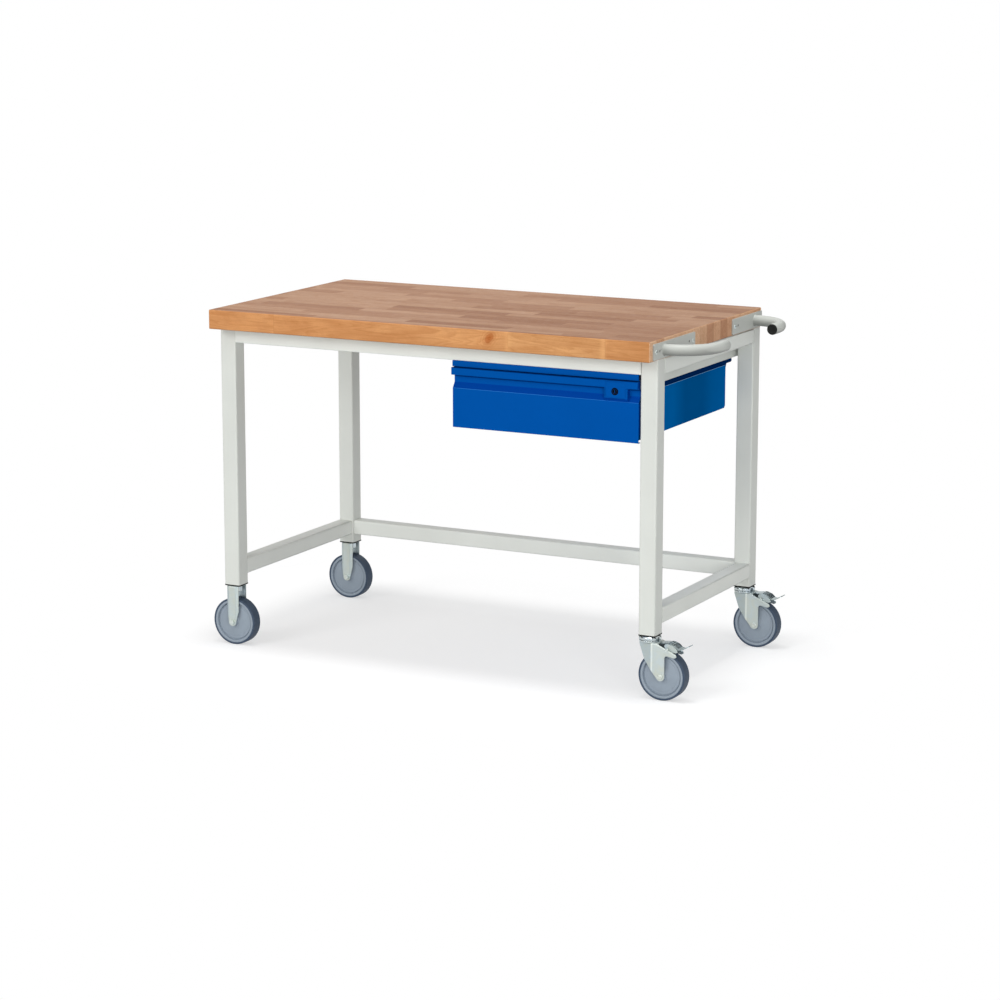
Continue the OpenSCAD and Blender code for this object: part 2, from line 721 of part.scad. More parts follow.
module fixed_fork(y) {
  half = fixed_fork_w / 2;
  eye_r = 11;
  taper_z = axle_z + 32;
  arm = [[-half, castor_h], [half, castor_h], [half, taper_z], [eye_r, axle_z], [-eye_r, axle_z],
    [-half, taper_z]];
  color(zinc) translate([leg_xl, y, 0]) difference() {
    union() {
      for (y0 = [-fork_y - fork_t, fork_y]) plate_along_y(y0, y0 + fork_t) {
        polygon(arm);
        translate([0, axle_z]) circle(eye_r);
      }
      translate([-half, -fork_y - 1, castor_h - fork_t]) cube([fixed_fork_w, fork_gap + 2, fork_t]);
    }
    rod_y([0, -fork_y - fork_t - 1, axle_z], fork_gap + 2 * fork_t + 2, axle_r + fit);
    translate([0, 0, castor_h - fork_t - 1]) cylinder(h = fork_t + 2, r = stem_r + fit);
  }
}
module fixed_fork_front() { fixed_fork(leg_yf); }
module fixed_fork_back() { fixed_fork(leg_yb); }

// Hexagon bolt along +Z: its head below z = 0.
module hex_bolt(r, l, head_h) {
  translate([0, 0, -head_h / 2]) cylinder(h = l + head_h / 2, r = r);
  translate([0, 0, -head_h]) cylinder(h = head_h, r = r * 1.75, $fn = 6);
}

module fixed_castor_bolts() {
  color(zinc) fixed_places() translate([0, 0, castor_h - fork_t])
    hex_bolt(stem_r, fork_t + plug_plate_t + plug_l, bolt_head_h);
}
module kingpins() {
  color(zinc) swivel_places() translate([0, 0, crown_z - light_gap])
    hex_bolt(stem_r, castor_h + plug_plate_t + plug_l - crown_z + light_gap, bolt_head_h);
}

module fixed_axle_bolts() {
  color(zinc) fixed_places() translate([0, -fork_y - fork_t, axle_z]) along_y()
    hex_bolt(axle_r, fork_gap + 2 * fork_t + axle_end, 5.3);
}
module fixed_axle_nuts() {
  color(zinc) fixed_places() translate([0, fork_y + fork_t, axle_z]) along_y() difference() {
    cylinder(h = axle_end - 1, r = 1.9 * axle_r, $fn = 6);
    translate([0, 0, -1]) cylinder(h = 9, r = axle_r + fit);
  }
}

// Spacer tube between the fork's arms, on which the wheel turns.
module axle_sleeve() {
  difference() {
    rod_y([0, -fork_y, axle_z], fork_gap, sleeve_r);
    rod_y([0, -fork_y - 1, axle_z], fork_gap + 2, axle_r + fit);
  }
}
module fixed_axle_sleeves() { color(zinc) fixed_places() axle_sleeve(); }

// Cap of the swivel bearing, fixed under the leg; the balls run inside its rim.
module swivel_head(y) {
  rim_z = crown_top + 2 * light_gap;
  color(zinc) translate([leg_xr, y, 0]) rotate_extrude() {
    translate([stem_r + fit, castor_h - head_t]) square([head_r - stem_r - fit, head_t]);
    translate([head_r - head_rim, rim_z]) square([head_rim, castor_h - rim_z]);
  }
}
module swivel_head_front() { swivel_head(leg_yf); }
module swivel_head_back() { swivel_head(leg_yb); }

module race_balls() {
  color(zinc) swivel_places() for (i = [0 : race_balls_n - 1])
    rotate([0, 0, i * 360 / race_balls_n])
      translate([race_r, 0, castor_h - head_t - ball_fit - race_ball_d / 2]) sphere(d = race_ball_d);
}

// Fork: a round crown, and two arms that slant back to the axle and carry the brake.
module swivel_fork(y) {
  eye_r = 11;
  lead = [4 - head_r, fork_top];
  top_end = head_r + 2;
  arm = [lead, [lead[0], fork_top - 7], [trail - 9.6, axle_z - 5.4], [trail + eye_r, axle_z],
    [trail + eye_r, axle_z + 55], [trail + 38, axle_z + 50.5], [trail + 42, axle_z + 55],
    [trail + 34, axle_z + 66], [trail + 14, axle_z + 80], [top_end, fork_top]];
  color(zinc) translate([leg_xr, y, 0]) difference() {
    union() {
      for (y0 = [-fork_y - fork_t, fork_y]) plate_along_y(y0, y0 + fork_t) {
        polygon(arm);
        translate([trail, axle_z]) circle(eye_r);
      }
      translate([lead[0], -fork_y - 1, fork_top - fork_t]) cube([top_end - lead[0], fork_gap + 2, fork_t]);
      translate([0, 0, crown_z]) cylinder(h = crown_h, r = head_r - 0.5);
    }
    rod_y([trail, -fork_y - fork_t - 1, axle_z], fork_gap + 2 * fork_t + 2, axle_r + fit);
    rod_y([pin_x, -fork_y - fork_t - 1, pin_z], fork_gap + 2 * fork_t + 2, pin_r + fit);
    translate([0, 0, crown_z - 1]) cylinder(h = crown_h + 2, r = stem_r + running_fit);
  }
}
module swivel_fork_front() { swivel_fork(leg_yf); }
module swivel_fork_back() { swivel_fork(leg_yb); }

// Rivet through both arms of a fork, with a formed head at each end.
module rivet(p, r, rivet_head_r, rivet_head_h) {
  half = fork_y + fork_t;
  rod_y([p[0], -half, p[1]], 2 * half, r);
  for (y = [-half - rivet_head_h, half]) rod_y([p[0], y, p[1]], rivet_head_h, rivet_head_r);
}
module fork_pins(y) {
  color(zinc) translate([leg_xr, y, 0]) {
    rivet([trail, axle_z], axle_r, axle_head_r, 2.5);
    translate([trail, 0, 0]) axle_sleeve();
    rivet([pin_x, pin_z], pin_r, 4.5, 1.5);
  }
}
module fork_pins_front() { fork_pins(leg_yf); }
module fork_pins_back() { fork_pins(leg_yb); }

// Brake pedal: a bent plate on two cheeks, turning on a barrel whose lobe presses on the tyre.
module brake_pedal(y) {
  plate = [[-9, 12], [2, 14], [14, 10], [26, 2], [34, 1], [55, 11], [56, 13.5], [54, 14.5], [33, 4.5],
    [27, 5.5], [15, 13.5], [3, 17.5], [-10, 15]];
  cheek = [[-9, 12], [2, 14], [14, 10], [22, 5], [4, -5.2], [-5, -4.2]];
  lobe_angle = atan2(axle_z - pin_z, trail - pin_x) + pedal_travel;
  half = pedal_w / 2;
  color(zinc) translate([leg_xr + pin_x, y, pin_z]) difference() {
    union() {
      plate_along_y(-half, half) {
        circle(barrel_r);
        rotate(lobe_angle) translate([lobe_tip - lobe_r, 0]) circle(lobe_r);
      }
      plate_along_y(-half, half) polygon(plate);
      for (y0 = [-half, half - 3]) plate_along_y(y0, y0 + 3) polygon(cheek);
    }
    rod_y([0, -half - 1, 0], pedal_w + 2, pin_r + running_fit);
  }
}
module brake_pedal_front() { brake_pedal(leg_yf); }
module brake_pedal_back() { brake_pedal(leg_yb); }

// Wheels: core with hub, web and rim; tyre with rounded shoulders.
module wheel_core(x, y) {
  hub_r = 13;
  rim_r = wheel_d / 2 - tyre_t;
  rim_w = tyre_w - 2;
  web_w = tyre_w - 12;
  color(core_grey) translate([x, y, axle_z]) rotate([90, 0, 0]) rotate_extrude() {
    translate([sleeve_r + running_fit, -hub_w / 2]) square([hub_r - sleeve_r - running_fit, hub_w]);
    translate([hub_r - 1, -web_w / 2]) square([rim_r - hub_r, web_w]);
    translate([rim_r - 10, -rim_w / 2]) square([10, rim_w]);
  }
}
module tyre(x, y) {
  rim_r = wheel_d / 2 - tyre_t;
  shoulder = min(6, tyre_t - 1);
  color(tyre_grey) translate([x, y, axle_z]) rotate([90, 0, 0]) rotate_extrude() intersection() {
    translate([rim_r, -tyre_w / 2]) square([tyre_t, tyre_w]);
    translate([wheel_d / 2 - tyre_t, 0]) rounded_square(2 * tyre_t, tyre_w, shoulder);
  }
}
module wheel_core_front_left() { wheel_core(leg_xl, leg_yf); }
module wheel_core_back_left() { wheel_core(leg_xl, leg_yb); }
module wheel_core_front_right() { wheel_core(leg_xr + trail, leg_yf); }
module wheel_core_back_right() { wheel_core(leg_xr + trail, leg_yb); }
module tyre_front_left() { tyre(leg_xl, leg_yf); }
module tyre_back_left() { tyre(leg_xl, leg_yb); }
module tyre_front_right() { tyre(leg_xr + trail, leg_yf); }
module tyre_back_right() { tyre(leg_xr + trail, leg_yb); }

worktop();
worktop_screws();
leg_front_left();
leg_front_right();
leg_back_left();
leg_back_right();
leg_plugs();
top_rail_front();
top_rail_back();
top_rail_left();
top_rail_right();
lower_rail_left();
lower_rail_right();
lower_rail_back();
carrier_left();
carrier_right();
carrier_caps();
unit_screws();
housing_shell();
housing_rails();
housing_front_strip();
runner_fixed();
runner_middle();
runner_balls();
runner_inner();
drawer_box();
drawer_front();
drawer_screws();
lock_plate();
lock_barrel();
lock_core();
lock_cam();
handle_front();
handle_rear();
handle_plugs();
handle_screws();
fixed_fork_front();
fixed_fork_back();
fixed_castor_bolts();
fixed_axle_bolts();
fixed_axle_nuts();
fixed_axle_sleeves();
swivel_head_front();
swivel_head_back();
race_balls();
kingpins();
swivel_fork_front();
swivel_fork_back();
fork_pins_front();
fork_pins_back();
brake_pedal_front();
brake_pedal_back();
wheel_core_front_left();
wheel_core_back_left();
wheel_core_front_right();
wheel_core_back_right();
tyre_front_left();
tyre_back_left();
tyre_front_right();
tyre_back_right();
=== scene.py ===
"""Workbench with drawer: looks. Sizes come from the frame; lengths here are in millimetres."""
import json
import math
import bpy
import bmesh
from mathutils import Matrix, Vector

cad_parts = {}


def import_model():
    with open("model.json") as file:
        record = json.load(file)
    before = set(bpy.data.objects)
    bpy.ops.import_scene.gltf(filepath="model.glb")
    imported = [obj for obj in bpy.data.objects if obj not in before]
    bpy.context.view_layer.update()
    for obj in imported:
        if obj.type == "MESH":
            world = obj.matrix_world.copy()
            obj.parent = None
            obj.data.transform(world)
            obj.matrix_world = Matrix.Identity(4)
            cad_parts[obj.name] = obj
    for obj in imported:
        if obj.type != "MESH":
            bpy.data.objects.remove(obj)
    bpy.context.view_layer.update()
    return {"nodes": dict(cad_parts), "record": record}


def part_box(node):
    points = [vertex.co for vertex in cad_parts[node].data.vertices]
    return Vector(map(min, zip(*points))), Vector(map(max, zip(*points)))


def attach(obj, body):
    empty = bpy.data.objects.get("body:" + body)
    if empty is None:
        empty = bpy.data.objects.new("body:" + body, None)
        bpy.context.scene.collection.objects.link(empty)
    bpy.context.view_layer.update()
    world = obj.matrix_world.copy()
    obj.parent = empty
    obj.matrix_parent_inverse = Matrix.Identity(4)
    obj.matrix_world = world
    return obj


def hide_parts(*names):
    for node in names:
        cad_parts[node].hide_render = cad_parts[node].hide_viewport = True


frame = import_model()
NODES = frame["nodes"]
BODY_OF = {n: b for b, ns in frame["record"]["behaviour"]["bodies"].items() for n in ns}
SLOT_OF = {s["node"]: s["material_slot"] for s in frame["record"]["subparts"]}
MM = 0.001


def box(node):
    """Lowest and highest corner of a CAD node, in millimetres."""
    low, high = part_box(node)
    return low / MM, high / MM


def middle(node):
    low, high = box(node)
    return (low + high) / 2


# ---------------------------------------------------------------- camera

def make_camera():
    top_low, top_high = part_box("worktop")
    centre = (top_low + top_high) / 2
    yaw, pitch, roll = math.radians(-27.20), math.radians(-11.47), math.radians(0.03)
    forward = Vector((math.sin(yaw) * math.cos(pitch), math.cos(yaw) * math.cos(pitch), math.sin(pitch)))
    right = Vector((math.cos(yaw), -math.sin(yaw), 0))
    up = right.cross(forward)
    right, up = right * math.cos(roll) + up * math.sin(roll), up * math.cos(roll) - right * math.sin(roll)
    data = bpy.data.cameras.new("camera")
    data.sensor_width = 36
    data.lens = 108.6588
    data.clip_end = 100
    camera = bpy.data.objects.new("camera", data)
    turn = Matrix((right, up, -forward)).transposed().to_4x4()
    place = Vector((centre.x + 3.579, centre.y - 6.883, top_high.z + 1.068))
    camera.matrix_world = Matrix.Translation(place) @ turn
    bpy.context.scene.collection.objects.link(camera)
    bpy.context.scene.camera = camera


# ---------------------------------------------------------------- materials

class Graph:
    """A material's node tree, with short ways to add and join nodes."""

    def __init__(self, name):
        self.material = bpy.data.materials.new(name)
        self.material.use_nodes = True
        self.nodes = self.material.node_tree.nodes
        self.links = self.material.node_tree.links
        self.shader = self.nodes["Principled BSDF"]
        self.output = self.nodes["Material Output"]

    def join(self, value, socket):
        if hasattr(value, "is_output"):
            self.links.new(value, socket)
        else:
            socket.default_value = value

    def add(self, kind, out=0, props=None, **inputs):
        node = self.nodes.new(kind)
        for key, value in (props or {}).items():
            setattr(node, key, value)
        for key, value in inputs.items():
            name = key.replace("_", " ")
            socket = node.inputs[int(key[1:])] if key[0] == "i" and key[1:].isdigit() else node.inputs[name]
            self.join(value, socket)
        return node.outputs[out]

    def math(self, operation, a, b=0.0, c=0.0, clamp=False):
        return self.add("ShaderNodeMath", props={"operation": operation, "use_clamp": clamp}, i0=a, i1=b,
                        i2=c)

    def times(self, a, b):
        return self.math("MULTIPLY", a, b)

    def vector(self, operation, a, b=(0, 0, 0)):
        out = 1 if operation in ("LENGTH", "DOT_PRODUCT", "DISTANCE") else 0
        return self.add("ShaderNodeVectorMath", out=out, props={"operation": operation}, i0=a, i1=b)

    def place(self):
        return self.add("ShaderNodeTexCoord", out=3)

    def split(self, value):
        node = self.nodes.new("ShaderNodeSeparateXYZ")
        self.join(value, node.inputs[0])
        return node.outputs

    def combine(self, x, y, z):
        return self.add("ShaderNodeCombineXYZ", i0=x, i1=y, i2=z)

    def noise(self, vector, scale, detail=2.0, rough=0.5, distortion=0.0, dimensions="3D", out=0, w=None):
        node = self.nodes.new("ShaderNodeTexNoise")
        node.noise_dimensions = dimensions
        self.join(vector, node.inputs["Vector"])
        if w is not None:
            self.join(w, node.inputs["W"])
        self.join(scale, node.inputs["Scale"])
        node.inputs["Detail"].default_value = detail
        node.inputs["Roughness"].default_value = rough
        node.inputs["Distortion"].default_value = distortion
        return node.outputs[out]

    def ramp(self, value, stops, smooth=False):
        node = self.nodes.new("ShaderNodeValToRGB")
        if smooth:
            node.color_ramp.interpolation = "EASE"
        elements = node.color_ramp.elements
        while len(elements) < len(stops):
            elements.new(0.5)
        for element, (place, colour) in zip(elements, stops):
            element.position = place
            if not hasattr(colour, "__len__"):
                colour = (colour,) * 3
            element.color = tuple(colour) + (1,)
        self.join(value, node.inputs[0])
        return node.outputs[0]

    def mix(self, fac, a, b, blend="MIX"):
        node = self.nodes.new("ShaderNodeMix")
        node.data_type = "RGBA"
        node.blend_type = blend
        self.join(fac, node.inputs[0])
        for value, socket in ((a, node.inputs[6]), (b, node.inputs[7])):
            if not hasattr(value, "is_output"):
                value = tuple(value) + (1,) if len(value) == 3 else value
            self.join(value, socket)
        return node.outputs[2]

    def spread(self, value, low, high, to_low=0.0, to_high=1.0):
        return self.add("ShaderNodeMapRange", props={"clamp": True}, i0=value, i1=low, i2=high, i3=to_low,
                        i4=to_high)

    def bump(self, height, strength, distance, normal=None):
        node = self.nodes.new("ShaderNodeBump")
        self.join(height, node.inputs["Height"])
        node.inputs["Strength"].default_value = strength
        node.inputs["Distance"].default_value = distance
        if normal is not None:
            self.join(normal, node.inputs["Normal"])
        return node.outputs[0]

    def finish(self, colour=None, rough=None, normal=None, **fixed):
        if colour is not None:
            if not hasattr(colour, "is_output") and len(colour) == 3:
                colour = tuple(colour) + (1,)
            self.join(colour, self.shader.inputs["Base Color"])
        if rough is not None:
            self.join(rough, self.shader.inputs["Roughness"])
        if normal is not None:
            self.join(normal, self.shader.inputs["Normal"])
        for key, value in fixed.items():
            self.shader.inputs[key.replace("_", " ")].default_value = value
        return self.material


def srgb(r, g, b):
    return tuple(((v / 255 + 0.055) / 1.055) ** 2.4 if v > 10 else v / 255 / 12.92 for v in (r, g, b))


def shade(colour, factor):
    return tuple(min(1, c * factor) for c in colour)


def powder_coat(name, colour, rough=0.42, speck=0.03, specular=0.5, drift=7, painted_reflection_bands=None, under=None):
    """Baked powder paint: orange peel, fine grain in the gloss, slight unevenness of tone.
    The bands, (y, factor) pairs along a panel, are a painted reflection that darkens and lightens it; under
    is the darker tone of faces that look down, a painted shade."""
    g = Graph(name)
    place = g.place()
    cloud = g.noise(place, drift, 2, 0.5)
    fine = g.noise(place, 900, 2, 0.5)
    tone = g.mix(g.spread(cloud, 0.3, 0.7), shade(colour, 1 - speck), shade(colour, 1 + speck))
    tone = g.mix(g.spread(fine, 0.35, 0.75, 0, 0.25), tone, shade(colour, 0.93))
    # painted reflection: the panel is made darker and lighter along y
    if painted_reflection_bands:
        lows, highs = painted_reflection_bands[0][0], painted_reflection_bands[-1][0]
        along = g.spread(g.split(place)[1], lows, highs)
        stops = [((at - lows) / (highs - lows), factor) for at, factor in painted_reflection_bands]
        tone = g.mix(1.0, tone, g.ramp(along, stops), "MULTIPLY")
    # painted shade: faces that look down are darkened
    if under:
        normal = g.split(g.nodes.new("ShaderNodeTexCoord").outputs[1])
        low = g.times(g.spread(normal[2], 0.85, -0.75), g.spread(g.math("ABSOLUTE", normal[0]), 0.98, 0.8))
        tone = g.mix(low, tone, shade(colour, under))
    gloss = g.spread(g.noise(place, 240, 3, 0.6), 0.3, 0.7, rough - 0.05, rough + 0.07)
    peel = g.bump(g.noise(place, 420, 3, 0.55), 0.16, 0.00025)
    return g.finish(tone, gloss, peel, Specular_IOR_Level=specular)


def zinc(name, colour, rough=0.33, metal=0.92):
    """Bright zinc plate: slightly bluish and yellowish passivation clouds, fine rolling lines."""
    g = Graph(name)
    place = g.place()
    cloud = g.noise(place, 35, 3, 0.6, 0.6)
    blue = (colour[0] * 0.95, colour[1], colour[2] * 1.05)
    yellow = (colour[0], colour[1] * 0.995, colour[2] * 0.93)
    tone = g.mix(g.spread(cloud, 0.35, 0.65), blue, yellow)
    rolled = g.noise(g.vector("MULTIPLY", place, (60, 60, 900)), 1, 2, 0.5)
    tone = g.mix(g.spread(rolled, 0.4, 0.8, 0, 0.22), tone, shade(colour, 0.8))
    gloss = g.spread(g.noise(place, 160, 4, 0.65), 0.3, 0.7, rough - 0.08, rough + 0.1)
    grain = g.bump(g.noise(place, 700, 2, 0.5), 0.1, 0.0002)
    return g.finish(tone, gloss, grain, Metallic=metal)


def moulded(name, colour, rough=0.5, grain=1100, strength=0.12, vary=0.04, specular=0.5):
    """Moulded plastic: fine spark-eroded grain and a faint cloudiness."""
    g = Graph(name)
    place = g.place()
    tone = g.mix(g.spread(g.noise(place, 40, 3, 0.6), 0.3, 0.7), shade(colour, 1 - vary),
                 shade(colour, 1 + vary))
    gloss = g.spread(g.noise(place, 300, 3, 0.6), 0.3, 0.7, rough - 0.05, rough + 0.08)
    bump = g.bump(g.noise(place, grain, 2, 0.6), strength, 0.0002)
    return g.finish(tone, gloss, bump, Specular_IOR_Level=specular)


def tyre_rubber(name, colour):
    """Grey-blue thermoplastic tyre: matt, a little dust along the tread, fine mould lines."""
    g = Graph(name)
    place = g.place()
    dust = g.noise(place, 55, 5, 0.7)
    tone = g.mix(g.spread(dust, 0.45, 0.8, 0, 0.35), shade(colour, 0.94), shade(colour, 1.3))
    gloss = g.spread(g.noise(place, 220, 3, 0.6), 0.3, 0.7, 0.5, 0.66)
    bump = g.bump(g.noise(place, 650, 3, 0.6), 0.2, 0.0003)
    return g.finish(tone, gloss, bump, Specular_IOR_Level=0.35)


# ---------------------------------------------------------------- meshes

def piece(name, shape, material, node, angle=35, bevel=0.0, bevel_angle=40):
    """Links a mesh, or one made from (verts, faces), shades it by angle and rounds its edges.
    It rides with a CAD node, and is shown instead of that node if its name starts with vis_."""
    mesh = to_mesh(name, *shape) if isinstance(shape, tuple) else shape
    obj = bpy.data.objects.new(name, mesh)
    bpy.context.scene.collection.objects.link(obj)
    bm = bmesh.new()
    bm.from_mesh(mesh)
    limit = math.radians(angle)
    for f in bm.faces:
        f.smooth = True
    for e in bm.edges:
        e.smooth = len(e.link_faces) != 2 or e.calc_face_angle() < limit
    bm.to_mesh(mesh)
    bm.free()
    mesh.materials.append(material)
    if bevel:
        soften(obj, bevel, 2, bevel_angle)
    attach(obj, BODY_OF[node])
    if name.startswith("vis_"):
        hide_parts(node)
    return obj


def soften(obj, width, segments, angle):
    """Small rounded edges that catch the light."""
    bevel = obj.modifiers.new("edges", "BEVEL")
    bevel.limit_method = "ANGLE"
    bevel.angle_limit = math.radians(angle)
    bevel.width = width * MM
    bevel.segments = segments
    bevel.use_clamp_overlap = True
    bevel.harden_normals = True


def to_mesh(name, verts, faces):
    mesh = bpy.data.meshes.new(name)
    mesh.from_pydata([Vector(v) * MM for v in verts], [], faces)
    mesh.validate()
    bm = bmesh.new()
    bm.from_mesh(mesh)
    bmesh.ops.recalc_face_normals(bm, faces=bm.faces)
    bm.to_mesh(mesh)
    bm.free()
    return mesh


def join_meshes(parts):
    """One (verts, faces) from several."""
    verts, faces = [], []
    for v, f in parts:
        start = len(verts)
        verts += list(v)
        faces += [tuple(i + start for i in face) for face in f]
    return verts, faces


def lathe(profile, centre, axis="Y", steps=72):
    """Turns a closed (radius, along) outline about an axis through centre."""
    verts, faces, n = [], [], len(profile)
    for i in range(steps):
        a = 2 * math.pi * i / steps
        c, s = math.cos(a), math.sin(a)
        for r, t in profile:
            p = {"Y": (r * c, t, r * s), "Z": (r * c, r * s, t), "X": (t, r * c, r * s)}[axis]
            verts.append(Vector(p) + Vector(centre))
    for i in range(steps):
        j = (i + 1) % steps
        for k in range(n):
            m = (k + 1) % n
            faces.append((i * n + k, i * n + m, j * n + m, j * n + k))
    return verts, faces


def fillet(points, radii, steps=6, closed=True):
    """Rounds the corners of a 2D outline or path."""
    out, n = [], len(points)
    for i, p in enumerate(points):
        r = radii[i] if hasattr(radii, "__len__") else radii
        if (not closed and i in (0, n - 1)) or r <= 0:
            out.append(Vector(p))
            continue
        p = Vector(p)
        a, b = (Vector(points[i - 1]) - p), (Vector(points[(i + 1) % n]) - p)
        la, lb = a.length, b.length
        a, b = a / la, b / lb
        half = math.acos(max(-1, min(1, a.dot(b)))) / 2
        if half > math.radians(89):
            out.append(p)
            continue
        cut = min(r / math.tan(half), la * 0.49, lb * 0.49)
        r = cut * math.tan(half)
        centre = p + (a + b).normalized() * (r / math.sin(half))
        start, end = p + a * cut - centre, p + b * cut - centre
        sweep = math.atan2(start.x * end.y - start.y * end.x, start.dot(end))
        for k in range(steps + 1):
            t = sweep * k / steps
            out.append(centre + Vector((start.x * math.cos(t) - start.y * math.sin(t),
                                        start.x * math.sin(t) + start.y * math.cos(t))))
    return out


def rectangle(x0, y0, x1, y1):
    return [(x0, y0), (x1, y0), (x1, y1), (x0, y1)]


def ease(t):
    """0 to 1 with a soft start and end."""
    t = max(0.0, min(1.0, t))
    return t * t * (3 - 2 * t)


class Path:
    """A filleted 2D path that a flat sheet can be bent along by arc length."""

    def __init__(self, points, radii, steps=6):
        self.points = fillet(points, radii, steps, closed=False)
        self.at = [0.0]
        for a, b in zip(self.points, self.points[1:]):
            self.at.append(self.at[-1] + (b - a).length)
        self.length = self.at[-1]

    def __call__(self, s):
        if s <= 0:
            i = 0
        elif s >= self.length:
            i = len(self.at) - 2
        else:
            i = next(k for k in range(len(self.at) - 1) if self.at[k + 1] >= s)
        a, b = self.points[i], self.points[i + 1]
        return a + (b - a) * ((s - self.at[i]) / (self.at[i + 1] - self.at[i]))

    def offset(self, s, d):
        """The point at arc length s, moved d to the right of the path, with mitred corners."""
        s = max(0.0, min(self.length, s))
        i = min(max(0, next((k for k in range(len(self.at)) if self.at[k] >= s - 1e-3), 0)), len(self.at) - 1)
        if abs(self.at[i] - s) < 1e-3:
            before = self.points[i] - self.points[max(0, i - 1)]
            after = self.points[min(len(self.points) - 1, i + 1)] - self.points[i]
            before, after = before if before.length else after, after if after.length else before
            n = (before.normalized() + after.normalized()).normalized()
            stretch = 1 / max(0.5, n.dot(before.normalized()))
        else:
            n, stretch = (self.points[i] - self.points[i - 1]).normalized(), 1
        return self(s) + Vector((n.y, -n.x)) * d * stretch


def flat_sheet(outline, cuts_u=(), cuts_v=(), holes=()):
    """A flat outline in (u, v), cut into strips at the given u and v so that it can be bent."""
    bm = bmesh.new()
    loop = [bm.verts.new((p[0], p[1], 0)) for p in outline]
    edges = [bm.edges.new((a, b)) for a, b in zip(loop, loop[1:] + loop[:1])]
    for hole in holes:
        ring = [bm.verts.new((p[0], p[1], 0)) for p in hole]
        edges += [bm.edges.new((a, b)) for a, b in zip(ring, ring[1:] + ring[:1])]
    bmesh.ops.triangle_fill(bm, edges=edges, use_beauty=True, use_dissolve=False)
    for f in bm.faces:
        if f.normal.z < 0:
            f.normal_flip()
    bmesh.ops.dissolve_limit(bm, angle_limit=0.01, verts=bm.verts, edges=bm.edges)
    for axis, cuts in ((0, cuts_u), (1, cuts_v)):
        for c in cuts:
            normal = Vector((1 - axis, axis, 0))
            every = bm.verts[:] + bm.edges[:] + bm.faces[:]
            bmesh.ops.bisect_plane(bm, geom=every, plane_co=normal * c, plane_no=normal)
    bmesh.ops.remove_doubles(bm, verts=bm.verts, dist=0.22)
    return bm


def bent(name, bm, where, thick):
    """Moves a flat sheet to where(u, v, depth), in millimetres: one skin at depth 0 and one at thick."""
    verts = [(v.co.x, v.co.y) for v in bm.verts]
    bm.verts.index_update()
    n = len(verts)
    faces = [[v.index for v in f.verts] for f in bm.faces]
    rims = [(corner.vert.index, corner.link_loop_next.vert.index) for f in bm.faces for corner in f.loops
            if len(corner.edge.link_faces) == 1]
    bm.free()
    points = [Vector(where(u, v, depth)) * MM for depth in (0.0, thick) for u, v in verts]
    faces += [[i + n for i in reversed(f)] for f in faces] + [[b, a, a + n, b + n] for a, b in rims]
    mesh = bpy.data.meshes.new(name)
    mesh.from_pydata(points, [], faces)
    mesh.validate()
    bm = bmesh.new()
    bm.from_mesh(mesh)
    bmesh.ops.triangulate(bm, faces=[f for f in bm.faces if len(f.verts) > 4])
    bmesh.ops.recalc_face_normals(bm, faces=bm.faces)
    bm.to_mesh(mesh)
    bm.free()
    return mesh


def prism(outline, t0, t1, axis="Y"):
    """Extrudes a 2D outline: (x, z) along Y, (y, z) along X, or (x, y) along Z."""
    def point(p, t):
        return {"Y": (p[0], t, p[1]), "X": (t, p[0], p[1]), "Z": (p[0], p[1], t)}[axis]
    n = len(outline)
    verts = [point(p, t0) for p in outline] + [point(p, t1) for p in outline]
    faces = [tuple(range(n)), tuple(range(2 * n - 1, n - 1, -1))]
    faces += [(i, (i + 1) % n, (i + 1) % n + n, i + n) for i in range(n)]
    return verts, faces


make_camera()


# ---------------------------------------------------------------- wood

